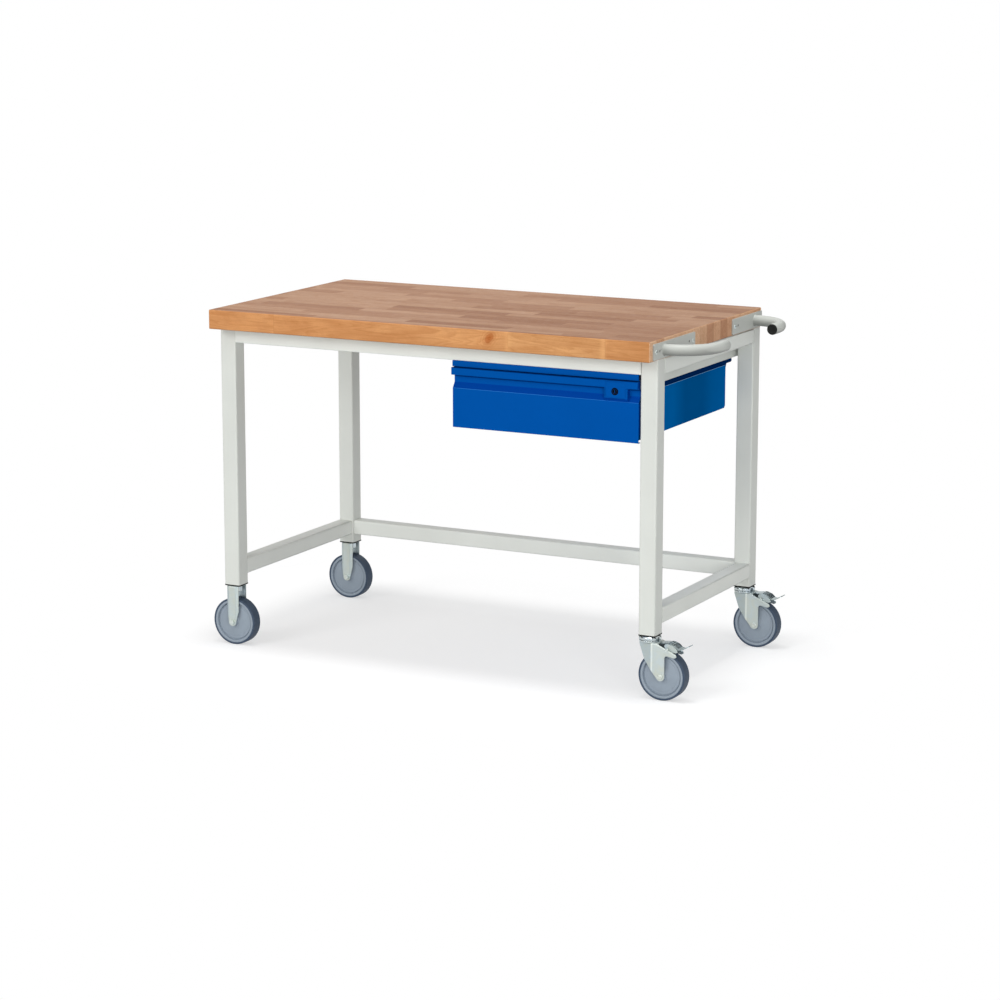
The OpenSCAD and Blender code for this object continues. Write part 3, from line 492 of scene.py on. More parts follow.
def beech(name):
    """Edge-glued beech staves, each with its own tone, figure, streaks and pores; the edge is warmer and
    brighter than the top, partly as painted light.
    """
    g = Graph(name)
    place = g.place()
    x, y, z = g.split(place)
    normal = g.nodes.new("ShaderNodeTexCoord").outputs[1]
    nx, ny = g.split(normal)[:2]
    width = 0.0435
    across = g.math("DIVIDE", g.math("ADD", y, 0.0106), width)
    row = g.math("FLOOR", across)
    row_noise = g.add("ShaderNodeTexWhiteNoise", props={"noise_dimensions": "1D"},
                      W=g.math("MULTIPLY_ADD", row, 3.17, 5.3))
    length = g.math("MULTIPLY_ADD", row_noise, 0.13, 0.25)
    along = g.math("DIVIDE", g.math("MULTIPLY_ADD", row_noise, 7.3, x), length)
    col = g.math("FLOOR", along)
    butt = g.math("ABSOLUTE", g.math("SUBTRACT", g.math("FRACT", along), 0.5))
    butt = g.spread(butt, 0.4978, 0.4996)

    # the front row has its joints in known places
    front = g.math("LESS_THAN", y, -0.3373)
    own = 0.0
    own_butt = 0.0
    for place_x in FRONT_JOINTS:
        own = g.math("ADD", g.math("GREATER_THAN", x, place_x), own)
        near_joint = g.spread(g.math("ABSOLUTE", g.math("SUBTRACT", x, place_x)), 0.0008, 0.0002)
        own_butt = g.math("MAXIMUM", near_joint, own_butt)

    def either(a, b):
        return g.add("ShaderNodeMix", i0=front, i2=a, i3=b)
    col = either(col, g.math("ADD", own, 31.0))
    butt = either(butt, own_butt)
    stave = g.nodes.new("ShaderNodeTexWhiteNoise")
    stave.noise_dimensions = "2D"
    g.links.new(g.combine(g.math("MULTIPLY_ADD", row, 1.37, 0.5), g.math("MULTIPLY_ADD", col, 2.11, 0.9),
                          0.0),
                stave.inputs["Vector"])
    tone, colour = stave.outputs[0], stave.outputs[1]
    local = g.vector("ADD", place, g.vector("MULTIPLY", colour, (9.0, 7.0, 5.0)))

    # figure: contour lines of a slow field that is drawn out along the grain
    slow = g.noise(g.vector("MULTIPLY", local, (2.6, 20, 26)), 1, 2, 0.45, 0.25)
    ring = g.math("FRACT", g.times(slow, 13.0))
    late = g.times(g.spread(ring, 0.25, 0.9), g.spread(ring, 1.0, 0.9))
    streak = g.noise(g.vector("MULTIPLY", local, (3.2, 60, 60)), 1, 4, 0.62)
    fine = g.noise(g.vector("MULTIPLY", local, (22, 420, 420)), 1, 3, 0.65)
    fleck = g.noise(g.vector("MULTIPLY", local, (150, 1300, 1300)), 1, 1, 0.5)
    patch = g.noise(g.vector("MULTIPLY", local, (9, 26, 26)), 1, 4, 0.65, 0.4)

    pale, mid, deep = WOOD_TOP
    top = g.ramp(tone, [(0.0, deep), (0.22, mid), (0.5, mid), (0.75, pale), (1.0, pale)])
    pale, mid, deep = WOOD_EDGE
    edge = g.mix(g.spread(x, -0.7, 0.6), mid, g.mix(0.5, mid, pale))
    edge = g.mix(g.times(g.math("GREATER_THAN", x, FRONT_JOINTS[-2]), 0.6), edge, pale)
    edge = g.mix(g.times(g.math("GREATER_THAN", x, FRONT_JOINTS[-1]), 0.65), edge, mid)
    pale, mid, deep = WOOD_END
    end = g.ramp(tone, [(0.0, deep), (0.25, mid), (0.5, pale), (0.75, mid), (1.0, deep)])
    on_edge = g.spread(g.math("ABSOLUTE", ny), 0.4, 0.8)
    on_end = g.spread(g.math("ABSOLUTE", nx), 0.4, 0.8)
    base = g.mix(on_end, g.mix(on_edge, top, edge), end)

    def tint(c, amount, by):
        return g.mix(amount, c, g.mix(1.0, c, by, "MULTIPLY"))
    more = g.math("MULTIPLY_ADD", on_edge, 0.55, 1.0)
    c = tint(base, g.times(g.spread(patch, 0.42, 0.68), g.times(more, 0.42)), (0.84, 0.75, 0.67))
    c = tint(c, g.times(g.spread(patch, 0.46, 0.3), g.times(more, 0.5)), (1.12, 1.13, 1.12))
    c = tint(c, g.times(g.spread(streak, 0.48, 0.72), 0.5), (0.80, 0.70, 0.60))
    c = tint(c, g.times(g.spread(streak, 0.46, 0.28), 0.4), (1.10, 1.10, 1.08))
    c = tint(c, g.times(late, g.times(more, 0.24)), (0.74, 0.60, 0.48))
    c = tint(c, g.times(g.spread(fine, 0.48, 0.75), 0.36), (0.76, 0.65, 0.56))
    c = tint(c, g.times(g.spread(fleck, 0.6, 0.74), 0.35), (0.58, 0.44, 0.34))

    # end grain: arcs of rings instead of streaks
    centre = g.math("MULTIPLY_ADD", row, width, 0.011)
    above = g.math("MULTIPLY_ADD", tone, 0.05, g.math("SUBTRACT", z, 0.965))
    arc = g.vector("LENGTH", g.combine(g.math("SUBTRACT", y, centre), above, 0.0))
    arc = g.math("ADD", arc, g.times(patch, 0.004))
    arc = g.math("FRACT", g.math("DIVIDE", arc, 0.0036))
    c = tint(c, g.times(g.times(g.spread(arc, 0.35, 0.95), on_end), 0.5), (0.80, 0.72, 0.64))

    # one reddish knot with its swirl in the front edge, where a stave ends
    kx, kz = KNOT
    dx, dz = g.math("SUBTRACT", x, kx), g.math("SUBTRACT", z, kz)
    ex = g.math("DIVIDE", g.math("MULTIPLY_ADD", dz, -0.55, dx), 0.017)
    ez = g.math("DIVIDE", g.math("MULTIPLY_ADD", dx, 0.35, dz), 0.026)
    near = g.math("SQRT", g.math("ADD", g.times(ex, ex), g.times(ez, ez)))
    near = g.math("ADD", near, g.times(g.math("SUBTRACT", patch, 0.5), 1.6))
    on_front = g.spread(g.times(ny, -1.0), 0.4, 0.8)
    swirl = g.spread(g.math("FRACT", g.times(near, 2.4)), 0.3, 0.9)
    c = tint(c, g.times(g.times(g.spread(near, 1.9, 0.6), swirl), g.times(on_front, 0.45)),
             (0.78, 0.58, 0.42))
    c = tint(c, g.times(g.spread(near, 0.75, 0.1), g.times(on_front, 0.85)), (0.70, 0.42, 0.26))
    for place_x, amount in ((FRONT_JOINTS[-1] - 0.006, 0.55), (KNOT[0] + 0.052, 0.35)):
        spot = g.spread(g.math("ABSOLUTE", g.math("SUBTRACT", x, place_x)), 0.012, 0.0)
        c = g.mix(g.times(g.times(spot, on_front), amount), c, shade(WOOD_EDGE[0], 1.15))

    # glue lines between rows, and butt joints
    gap = g.math("ABSOLUTE", g.math("SUBTRACT", g.math("FRACT", across), 0.5))
    glue = g.times(g.spread(gap, 0.485, 0.4985), g.math("SUBTRACT", 1.0, on_edge))
    glue = g.math("MAXIMUM", glue, butt)
    c = tint(c, g.times(glue, 0.3), (0.55, 0.42, 0.34))

    # painted shade: the top and edge get darker towards the right end, where less sheen and light fall
    c = tint(c, g.times(g.spread(x, -0.25, 0.6), g.math("SUBTRACT", 1.0, on_end)), (0.91, 0.90, 0.88))
    gloss = g.spread(g.noise(local, 60, 4, 0.65), 0.3, 0.7, 0.44, 0.58)
    height = g.math("ADD", g.times(fine, 0.6), g.times(g.spread(fleck, 0.6, 0.74), -0.6))
    height = g.math("MULTIPLY_ADD", glue, -0.6, height)
    return g.finish(c, gloss, g.bump(height, 0.25, 0.0004), Specular_IOR_Level=0.05)


# ---------------------------------------------------------------- palette

# The top, edge and end tones differ partly as beech does and partly as painted light: the top's darker,
# greyer tone holds painted shade and sheen, the edge's warmer, brighter tone painted light.
WOOD_TOP = (srgb(185, 147, 120), srgb(170, 129, 102), srgb(156, 114, 87))
WOOD_EDGE = (srgb(220, 166, 113), srgb(210, 150, 98), srgb(190, 127, 76))
WOOD_END = (srgb(238, 200, 166), srgb(222, 178, 144), srgb(198, 150, 118))
FRONT_JOINTS = (-0.47, 0.202, 0.466)
KNOT = (0.150, 0.880)
WOOD = beech("beech_staves")
GREY = powder_coat("light_grey_powder_coat", srgb(218, 221, 215), specular=0.3)
# painted light: a lighter copy of the grey paint for the rails, to make up for the shade that falls on them
RAIL_GREY_PAINTED_LIGHT = powder_coat("light_grey_powder_coat_rails_painted_light", srgb(231, 234, 228), specular=0.3)
BLUE = powder_coat("blue_powder_coat", srgb(0, 81, 165), specular=0.012)
# painted reflection: the housing's blue is darker in the middle of the side panels and lighter towards their
# ends, along y
HOUSING_BLUE = powder_coat("blue_powder_coat_housing", srgb(0, 99, 173), specular=0.0, speck=0.05, drift=2.6,
                           painted_reflection_bands=((-0.29, 1.04), (-0.08, 1.0), (-0.01, 0.72), (0.1, 0.72), (0.16, 0.9),
                                  (0.26, 1.0)))
# painted shade: a darker blue for the slope under the lip, the drawer front's end returns and the lock
# plate's foot and cheeks
BLUE_PAINTED_SHADE = powder_coat("blue_powder_coat_painted_shade", srgb(0, 66, 156), specular=0.01)
# painted highlight: a light blue line along the fold at the foot of the slope
BLUE_GLINT = powder_coat("blue_powder_coat_painted_fold_highlight", srgb(46, 122, 204), specular=0.0)
# painted shade: a darker blue on the lip's top and on the neck just under the lip
BLUE_SHADE = powder_coat("blue_powder_coat_painted_lip_shade", srgb(0, 56, 126), specular=0.0)
# painted shade: a near-black blue for the dark gap between the front strip's ends and the legs
BLUE_GAP_SHADE = powder_coat("blue_powder_coat_painted_gap_shade", srgb(0, 26, 66), specular=0.02)
# painted highlight: a light blue strip along the side panels' top edges
PANEL_EDGE_HIGHLIGHT = powder_coat("blue_powder_coat_painted_edge_highlight", srgb(96, 148, 196), specular=0.3)
# painted shade: the dark brown inside the pilot holes
PILOT = moulded("pilot_hole_shade", srgb(40, 30, 24), rough=0.8, specular=0.1)
# painted shade: faces of the handles that look down are darkened
HANDLE_GREY = powder_coat("handle_powder_coat", srgb(196, 199, 193), specular=0.3, under=0.44)
LOCK_BLACK = moulded("lock_black", srgb(6, 7, 9), rough=0.5, specular=0.04)
# The hanging rails' dark navy is partly their own paint and partly painted shade, for the shade they sit in
# under the worktop.
NAVY_PAINTED_SHADE = powder_coat("navy_powder_coat_painted_shade", srgb(0, 38, 88), specular=0.0)
ZINC = zinc("bright_zinc", srgb(206, 212, 210))
SATIN_ZINC = zinc("satin_zinc", srgb(194, 201, 198), rough=0.42, metal=0.45)
# Darker copies of the satin zinc paint shade on the forks: on chamfers, the bent leading part and the inner
# faces; the pedal's cheeks use the chamfer tone too. A lighter copy is a painted highlight along the fold.
EDGE_ZINC = zinc("satin_zinc_chamfer", srgb(183, 193, 194), rough=0.4, metal=0.45)
FOLD_ZINC_HIGHLIGHT = zinc("satin_zinc_painted_fold_highlight", srgb(222, 227, 223), rough=0.4, metal=0.35)
INNER_ZINC = zinc("shaded_zinc", srgb(178, 190, 194), rough=0.34, metal=0.6)
CHROME = zinc("rolled_zinc", srgb(190, 198, 201), rough=0.13, metal=0.99)
PEDAL_ZINC = zinc("pedal_zinc", srgb(158, 171, 175), rough=0.26, metal=0.9)
DARK_ZINC = zinc("zinc_in_shade", srgb(176, 184, 184), rough=0.42)
BLACK = moulded("black_plastic", srgb(17, 19, 17), rough=0.45, specular=0.2)
CORE = moulded("wheel_core_plastic", srgb(144, 156, 168), rough=0.42)
TYRE = tyre_rubber("grey_blue_tyre", srgb(59, 75, 95))
BY_SLOT = {"beech": WOOD, "light_grey_paint": GREY, "blue_paint": BLUE, "navy_paint": NAVY_PAINTED_SHADE, "zinc": ZINC,
           "black_plastic": BLACK, "wheel_plastic": CORE, "tyre_rubber": TYRE}


# ---------------------------------------------------------------- castors

PEDAL_X, PEDAL_Z = 56.0, 132.0  # the brake's pivot: behind the kingpin, and above the floor


def wheel(node_core, node_tyre):
    """Wheel with a lipped rim, a stepped disc and a conical hub, and a tyre with round shoulders."""
    hub_at = middle(node_tyre)
    low, high = box(node_tyre)
    r_out, half = (high.x - low.x) / 2, (high.y - low.y) / 2
    hub = (box(node_core)[1].y - box(node_core)[0].y) / 2
    side = [(6.06, hub - 0.6), (6.6, hub), (10.6, hub), (11.4, hub - 0.8), (12.6, hub - 5.2),
            (14.0, hub - 6.6),
            (22.5, hub - 8.6), (23.5, hub - 8.9), (39.2, hub - 8.9), (40.2, hub - 9.2), (41.2, hub - 9.9),
            (46.6, hub - 9.8), (47.8, hub - 10.2), (48.6, hub - 11.6),
            (49.3, hub - 12.0), (50.0, hub - 11.6), (50.5, hub - 9.4), (50.9, hub - 6.2), (51.6, hub - 5.0),
            (52.4, hub - 4.6), (56.2, hub - 4.6), (57.0, hub - 4.9), (57.6, hub - 5.6), (57.8, hub - 7.2)]
    profile = side + [(r, -t) for r, t in reversed(side)]
    piece("vis_" + node_core, lathe(profile, hub_at, steps=128), CORE, node_core, angle=28)
    outline = fillet([(57.0, half - 1.4), (57.6, half - 0.3), (r_out, half), (r_out, -half),
                      (57.6, -half + 0.3),
                  (57.0, -half + 1.4)], [0, 0.4, 4.9, 4.9, 0.4, 0], steps=9)
    # a shallow crown, and a mould line in the middle of the tread
    tread = [(r_out - 0.22, half - 7.0), (r_out - 0.06, half - 11), (r_out, 1.2), (r_out, 0), (r_out, -1.2),
             (r_out - 0.06, -half + 11), (r_out - 0.22, -half + 7.0)]
    cut = max(i for i, p in enumerate(outline) if p[1] > 0)
    outline = [(min(r, r_out - 0.3 * (r > r_out - 0.2)), t) for r, t in outline]
    outline = outline[:cut + 1] + tread + outline[cut + 1:]
    piece("vis_" + node_tyre, lathe(outline, hub_at, steps=160), TYRE, node_tyre)


def arm_half_width(x, bends):
    """How far an arm has bent inwards at x; bends are (start, way, radius, degrees)."""
    drop = 0.0
    for start, way, radius, degrees in bends:
        t = (x - start) * way
        if t <= 0:
            continue
        a = math.radians(degrees)
        reach = radius * math.sin(a)
        if t < reach:
            drop += radius - math.sqrt(radius ** 2 - t ** 2)
        else:
            drop += radius * (1 - math.cos(a)) + (t - reach) * math.tan(a)
    return drop


def pressed_fork(node, centre, half, top, corner, lower, bends, slope=None):
    """Fork pressed from one sheet: arms with the lower outline, folded over at the top, bent in plan.
    lower is one arm's outline in (x, z) from the leading top corner round the axle to the top; slope, if any,
    is how far the rear edge falls at x, and goes with a fold line painted as a bright highlight band. Inner
    faces and faces past a bend get darker copies of the zinc: painted shade."""
    name = "vis_" + node
    folds = slope is not None
    floor_z = min(p[1] for p in lower) - 1
    section = Path([(-half, floor_z), (-half, top), (half, top), (half, floor_z)], [0, corner, corner, 0],
                   steps=7)
    straight = top - corner - floor_z
    slope = slope or (lambda x: 0.0)

    def side(points):
        return [(x, z + slope(x) - floor_z) for x, z in points]
    a_side = side(lower)
    outline = a_side + [(x, section.length - v) for x, v in reversed(a_side)]
    xs = [p[0] for p in outline]
    cuts_u = sorted({round(min(xs) + i * 2.4, 3) for i in range(1, int((max(xs) - min(xs)) / 2.4) + 1)})
    arc = corner * math.pi / 2
    cuts_v = [straight + arc * i / 7 for i in range(8)]
    cuts_v = cuts_v + [section.length - v for v in cuts_v]
    bm = flat_sheet(outline, cuts_u, cuts_v)

    def where(u, v, d):
        p = section.offset(v, d)
        keep = (half - arm_half_width(u, bends)) / half
        return (centre.x + u, centre.y + p.x * keep, p.y - slope(u))
    obj = piece(name, bent(name, bm, where, 2.6), SATIN_ZINC, node, angle=50, bevel=0.6, bevel_angle=55)
    for other in (INNER_ZINC, EDGE_ZINC, FOLD_ZINC_HIGHLIGHT):
        obj.data.materials.append(other)
    # painted shade and highlight: inner faces and faces past a bend get darker zinc, the fold a lighter one
    for f in obj.data.polygons:
        x, facing = f.center.x / MM - centre.x, (f.center.y / MM - centre.y) * f.normal.y
        past = max((x - bend[0]) * bend[1] for bend in bends)
        if facing < -3 and abs(f.normal.y) > 0.6:
            f.material_index = 1
        elif facing > 3 and abs(f.normal.y) > 0.6 and past > -0.6:
            f.material_index = 3 if folds and past < 2.6 else 2
    return obj


def axle_end_arc(cx, cz, r, start, end, steps=14):
    turns = [math.radians(start + (end - start) * i / steps) for i in range(steps + 1)]
    return [(cx + r * math.cos(t), cz + r * math.sin(t)) for t in turns]


def swivel_castor(end):
    fork_node, head_node = "swivel_fork_" + end, "swivel_head_" + end
    low, high = box(head_node)
    centre = Vector(((low.x + high.x) / 2, (low.y + high.y) / 2, 0))
    head_z = high.z
    crown_r = (high.x - low.x) / 2 - 0.5
    axle = middle("tyre_%s_right" % end)
    trail, axle_z = axle.x - centre.x, axle.z
    fork_top = 146.1
    fall = 0.46

    def slope(x):
        t = max(0.0, x - 24.0)
        return fall * (t * t / (t + 8.0))
    r = 11.0
    lead = fillet([(-24.5, 145.5), (-24.0, 139.0), (-9.0, 102.0), (trail - 9.3, axle_z - 5.9)],
                  [0, 2.5, 26, 0],
                  steps=7, closed=False)
    bottom = axle_end_arc(trail, axle_z, r, 212, 360)
    inner = fillet([(trail + r, axle_z + 2), (trail + r, 118.5), (75.5, 113.2), (81.0, 116.4), (80.5, 120.0)],
                   [0, 7, 2.5, 2.5, 0], steps=7, closed=False)
    fold = fork_top - 5 + 5 * math.pi / 4
    rear = [(x, fold - slope(x)) for x in (79.0, 70.0, 60.0, 50.0, 40.0, 34.0)] + [(31.0, fold + 1.6),
                                                                                   (30.0, fold + 5)]
    lower = lead[1:] + bottom + inner[1:] + rear
    pressed_fork(fork_node, centre, 24.0, fork_top, 5.0, lower, [(15.0, -1, 9.0, 19.0)], slope)

    # the crown that carries the lower race, with a rolled edge, and the cap above it
    seam = 149.9
    crown = fillet([(6.06, seam - 0.7), (crown_r - 3.5, seam - 0.7), (crown_r - 2.4, seam), (crown_r, seam),
                    (crown_r, seam - 3.4), (crown_r - 2.2, seam - 5.2), (crown_r - 5.4, 143.4),
                    (6.06, 143.2)],
                   [0, 0.5, 0.6, 1.4, 1.4, 1.5, 1.2, 0], steps=5)
    piece("crown_" + end, lathe(crown, centre, "Z", 96), CHROME, fork_node, angle=30)
    cap_r = (high.x - low.x) / 2
    cap = fillet([(6.1, head_z), (cap_r - 3.2, head_z), (cap_r - 0.8, head_z - 2.0), (cap_r, head_z - 4.2),
                  (cap_r, low.z + 0.9), (cap_r - 1.0, low.z), (cap_r - 3.2, low.z),
                  (cap_r - 3.4, head_z - 5.0),
                  (6.1, head_z - 5.0)], [0, 1.5, 2.2, 1.6, 0.6, 0.5, 0.4, 0.8, 0], steps=5)
    piece("vis_" + head_node, lathe(cap, centre, "Z", 96), CHROME, head_node, angle=30)
    pins(end, centre, axle)
    pedal("brake_pedal_" + end, centre)


def rivet_end(x, y, z, way, r, h):
    """Formed rivet head along Y, dished in the middle."""
    edge = fillet([(0.001, 0), (r, 0), (r, h), (r * 0.45, h), (r * 0.3, h * 0.45), (0.001, h * 0.4)],
                  [0, 0.2, h * 0.55, h * 0.25, 0.2, 0], steps=4)
    return lathe([(p.x, p.y * way) for p in edge], (x, y, z), "Y", 48)


def pins(end, centre, axle):
    """Axle rivet, its sleeve and the brake's pivot pin."""
    node = "fork_pins_" + end
    y, pivot_x = centre.y, centre.x + PEDAL_X
    parts = []
    for way in (-1, 1):
        parts.append(rivet_end(axle.x, y + way * 24, axle.z, way, 6.5, 2.6))
        parts.append(rivet_end(pivot_x, y + way * 24, PEDAL_Z, way, 4.5, 1.6))
    for x, z, r, half in ((axle.x, axle.z, 6.0, 21.0), (pivot_x, PEDAL_Z, 3.0, 24.5),
                          (axle.x, axle.z, 4.0, 24.5)):
        parts.append(lathe([(0.001, -half), (r, -half), (r, half), (0.001, half)], (x, y, z), "Y", 40))
    piece("vis_" + node, join_meshes(parts), ZINC, node, angle=30)


def pedal(node, centre):
    """Brake pedal: a pressed hood with cheeks, a waisted neck and a tip turned up, on its barrel."""
    px, pz, y = centre.x + PEDAL_X, PEDAL_Z, centre.y
    path = Path([(-25.5, 11.2), (-22.5, 14.2), (3, 16.5), (15, 12.0), (25, 3.6), (34, 2.6), (55, 14.2)],
                [0, 4, 12, 14, 10, 14, 0], steps=8)
    length = path.length

    def half_width(s):
        t = s / length
        stops = [(0, 11.0), (0.14, 14.5), (0.3, 19.3), (0.52, 19.3), (0.64, 16.0), (0.74, 11.5), (0.87, 14.0),
                 (0.95, 13.0), (1.0, 8.5)]
        for (a, wa), (b, wb) in zip(stops, stops[1:]):
            if t <= b:
                return wa + (wb - wa) * ease((t - a) / (b - a))
        return stops[-1][1]
    steps = 50
    ss = [length * i / steps for i in range(steps + 1)]
    outline = [(s, -half_width(s)) for s in ss] + [(s, half_width(s)) for s in reversed(ss)]
    slots = []
    for i in range(3):
        for way in (-1, 1):
            at, mid = 28.5 + i * 5.4, way * 8.6
            slots.append(fillet(rectangle(at, mid - 6.4, at + 3.0, mid + 6.4), 1.4, steps=4))
    bm = flat_sheet(outline, ss[1:-1], range(-16, 17, 4), slots)

    def where(s, w, d):
        p = path.offset(s, d)
        t = s / length
        round_off = 2.6 * max(0, abs(w) / 19.3 - 0.55) ** 1.6 * min(1, max(0, 1 - (t - 0.5) * 4))
        return (px + p.x, y + w, pz + p.y - round_off * 2)
    piece("vis_" + node, bent(node, bm, where, 2.0), PEDAL_ZINC, node, angle=60, bevel=0.5, bevel_angle=55)
    cheek = fillet([(-10, 9), (-7, 13.2), (3, 14.6), (14, 10.6), (24, 2.4), (27, -3.5), (22, -6.5), (4, -6.0),
                    (-5, -5.2)],
                   [2, 3, 4, 5, 3, 2.5, 3, 4, 3], steps=4)
    cheek = [(px + x, pz + z) for x, z in cheek]
    parts = [prism(cheek, y + t, y + t + 2.0) for t in (-19.4, 17.4)]
    piece(node + "_cheeks", join_meshes(parts), EDGE_ZINC, node, bevel=0.6)
    a = math.radians(-79.5)
    lobe = axle_end_arc(px, pz, 6.4, -79.5 + 28, -79.5 + 332, 38)
    tip = axle_end_arc(px + 6.0 * math.cos(a), pz + 6.0 * math.sin(a), 2.99, -79.5 - 70, -79.5 + 70, 10)
    piece(node + "_barrel", prism(lobe + tip, y - 17.2, y + 17.2), DARK_ZINC, node, bevel=0.4)


def fixed_castor(end):
    node = "fixed_fork_" + end
    low, high = box(node)
    centre = Vector(((low.x + high.x) / 2, (low.y + high.y) / 2, 0))
    axle_z = middle("tyre_%s_left" % end).z
    r, top = 11.0, high.z
    left = fillet([(-17.0, top - 1), (-17.0, 92.0), (-10.2, axle_z - 4.2)], [0, 26, 0], steps=8, closed=False)
    right = [(-x, z) for x, z in reversed(left)]
    bottom = axle_end_arc(0, axle_z, r, 202, 338)
    fold = top - 4 + 4 * math.pi / 2
    lower = [(-17.0, fold - 1)] + left[1:] + bottom[1:-1] + right[:-1] + [(17.0, fold - 1)]
    pressed_fork(node, centre, 24.0, top, 4.0, lower, [(9.8, 1, 6.0, 38.0), (-9.8, -1, 6.0, 38.0)])
    # the collar under the fork's top, round the head of the mounting bolt
    under = top - 4.0
    collar = fillet([(12.6, under), (15.6, under), (15.6, under - 13), (12.6, under - 13)], [0, 0, 2.2, 0.6],
                    5)
    piece("bolt_collar_" + end, lathe(collar, centre, "Z", 64), CHROME, node, angle=30)


for end in ("front", "back"):
    fixed_castor(end)
    swivel_castor(end)
    for side in ("left", "right"):
        wheel("wheel_core_%s_%s" % (end, side), "tyre_%s_%s" % (end, side))


# ---------------------------------------------------------------- drawer

SHEET = 1.5


def folded_strip(name, node, points, radii, painted_light_bands=()):
    """Blue sheet bent along a (y, z) path over the node's width, with the metal inside the path.
    tones are (material, z0, z1): faces of the outer skin between those heights get that material; they are
    bands of painted shade and highlight."""
    low, high = box(node)
    path = Path(points, radii, steps=5)
    bm = flat_sheet(rectangle(low.x, 0, high.x, path.length), (), path.at[1:-1])

    def where(u, v, d):
        p = path.offset(v, -d)
        return (u, p.x, p.y)
    mesh = bent(name, bm, where, SHEET)
    piece(name, mesh, BLUE, node, angle=60, bevel=0.35, bevel_angle=60)
    for i, (other, z0, z1) in enumerate(painted_light_bands):
        mesh.materials.append(other)
        for f in mesh.polygons:
            if z0 < f.center.z / MM < z1 and abs(f.normal.x) < 0.5:
                f.material_index = i + 1


def end_plates(name, node, outlines, material, inset, bevel):
    """The same flat (y, z) shapes at both ends of a node."""
    low, high = box(node)
    starts = (low.x + inset, high.x - inset - SHEET)
    parts = [prism(outline, t, t + SHEET, "X") for t in starts for outline in outlines]
    piece(name, join_meshes(parts), material, node, bevel=bevel)


def drawer():
    low, high = box("drawer_front")
    z0, z1 = low.z, high.z
    lip_y = low.y
    neck_y, face_y = lip_y + 18, lip_y + 8
    lip_z = z1 - 19
    neck_z, face_z = lip_z - 20, lip_z - 34
    wall_y = high.y
    path = [(neck_y, z1), (lip_y, z1), (lip_y, lip_z), (neck_y, lip_z), (neck_y, lip_z - 5.5),
            (neck_y, neck_z),
            (face_y, face_z), (face_y, z0), (wall_y, z0)]
    # painted shade on the slope, on the lip's top and on the neck just under the lip, and a painted highlight
    # along the fold at the slope's foot
    folded_strip("vis_drawer_front", "drawer_front", path, [0, 1.4, 2.2, 2.0, 0, 2.5, 1.6, 2.4, 0],
                 painted_light_bands=((BLUE_PAINTED_SHADE, face_z + 0.6, neck_z + 0.4), (BLUE_SHADE, z1 - 1.3, z1 + 1),
                        (BLUE_GLINT, face_z - 0.75, face_z + 0.6), (BLUE_SHADE, lip_z - 5.4, lip_z - 0.4)))
    flange = fillet([(face_y + 1.6, z0 + 20), (wall_y, z0 + 20), (wall_y, face_z - 2),
                     (face_y + 1.6, face_z - 1)], 1.5)
    cap = fillet(rectangle(lip_y + 1.4, lip_z + 1.4, neck_y, z1 - 1.4), 1.2)
    # painted shade: the drawer front's end returns are a darker blue
    end_plates("drawer_front_returns", "drawer_front", (flange, cap), BLUE_PAINTED_SHADE, 0.05, 0.3)

    # strip under the front rail, with the tab behind it
    low, high = box("housing_front_strip")
    back = low.y + 15
    folded_strip("vis_front_strip", "housing_front_strip",
                 [(back, high.z), (low.y, high.z), (low.y, low.z), (back, low.z)], [0, 2.4, 2.4, 0])
    cap = fillet(rectangle(low.y + 1.4, low.z + 1.4, back, high.z - 1.4), 1.0)
    # painted shade: the strip's ends are near-black, for the dark gap beside the legs
    end_plates("front_strip_ends", "housing_front_strip", (cap,), BLUE_GAP_SHADE, 0.1, 0.2)
    lock_x = middle("lock_barrel").x
    keeper = prism(rectangle(lock_x - 12, back - 1, lock_x + 12, high.y), low.z, low.z + SHEET, "Z")
    piece("lock_keeper", keeper, BLUE, "housing_front_strip", bevel=0.3)

    # lock plate: a raised field whose sides slope back into the lip and whose foot runs out onto the slope
    low, high = box("lock_plate")
    half, height = (high.x - low.x) / 2, high.z - face_z
    cx = (high.x + low.x) / 2
    front = low.y
    outline = fillet(rectangle(-half, 0, half, height), [1, 1, 4, 4], steps=5)
    bm = flat_sheet(outline,
                    [i * 1.5 - half for i in range(1, 6)] + list(range(-20, 21, 5))
                    + [half - i * 1.5 for i in range(5, 0, -1)],
                    [1.5, 3, 4.5, 6, 7.5, 9, 10.5, 12, 17, 22, 27, 32, 37, 41, 44, 46.5])

    def where(u, v, d):
        foot = ease((12 - v) / 12)
        side = ease((abs(u) - (half - 8)) / 8) * 5.5
        y = front + (face_y - front) * foot * 0.995
        return (cx + u, max(y, min(front + side, face_y + 3)) + d, face_z + v)
    plate = piece("vis_lock_plate", bent("vis_lock_plate", bm, where, 1.4), BLUE, "lock_plate", angle=75,
                  bevel=0.3, bevel_angle=75)
    # painted shade: the plate's foot gets the darker blue of the slope
    plate.data.materials.append(BLUE_PAINTED_SHADE)
    for f in plate.data.polygons:
        if f.center.z / MM < face_z + 9:
            f.material_index = 1
    # painted shade: the plate's cheeks are a darker blue
    cheek = [(front + 6.2, lip_z + 0.5), (front + 6.2, face_z + 12), (face_y + 0.4, face_z + 1.5),
             (neck_y, neck_z + 2), (neck_y, lip_z + 0.5)]
    end_plates("lock_plate_cheeks", "lock_plate", (cheek,), BLUE_PAINTED_SHADE, 0.2, 0.2)


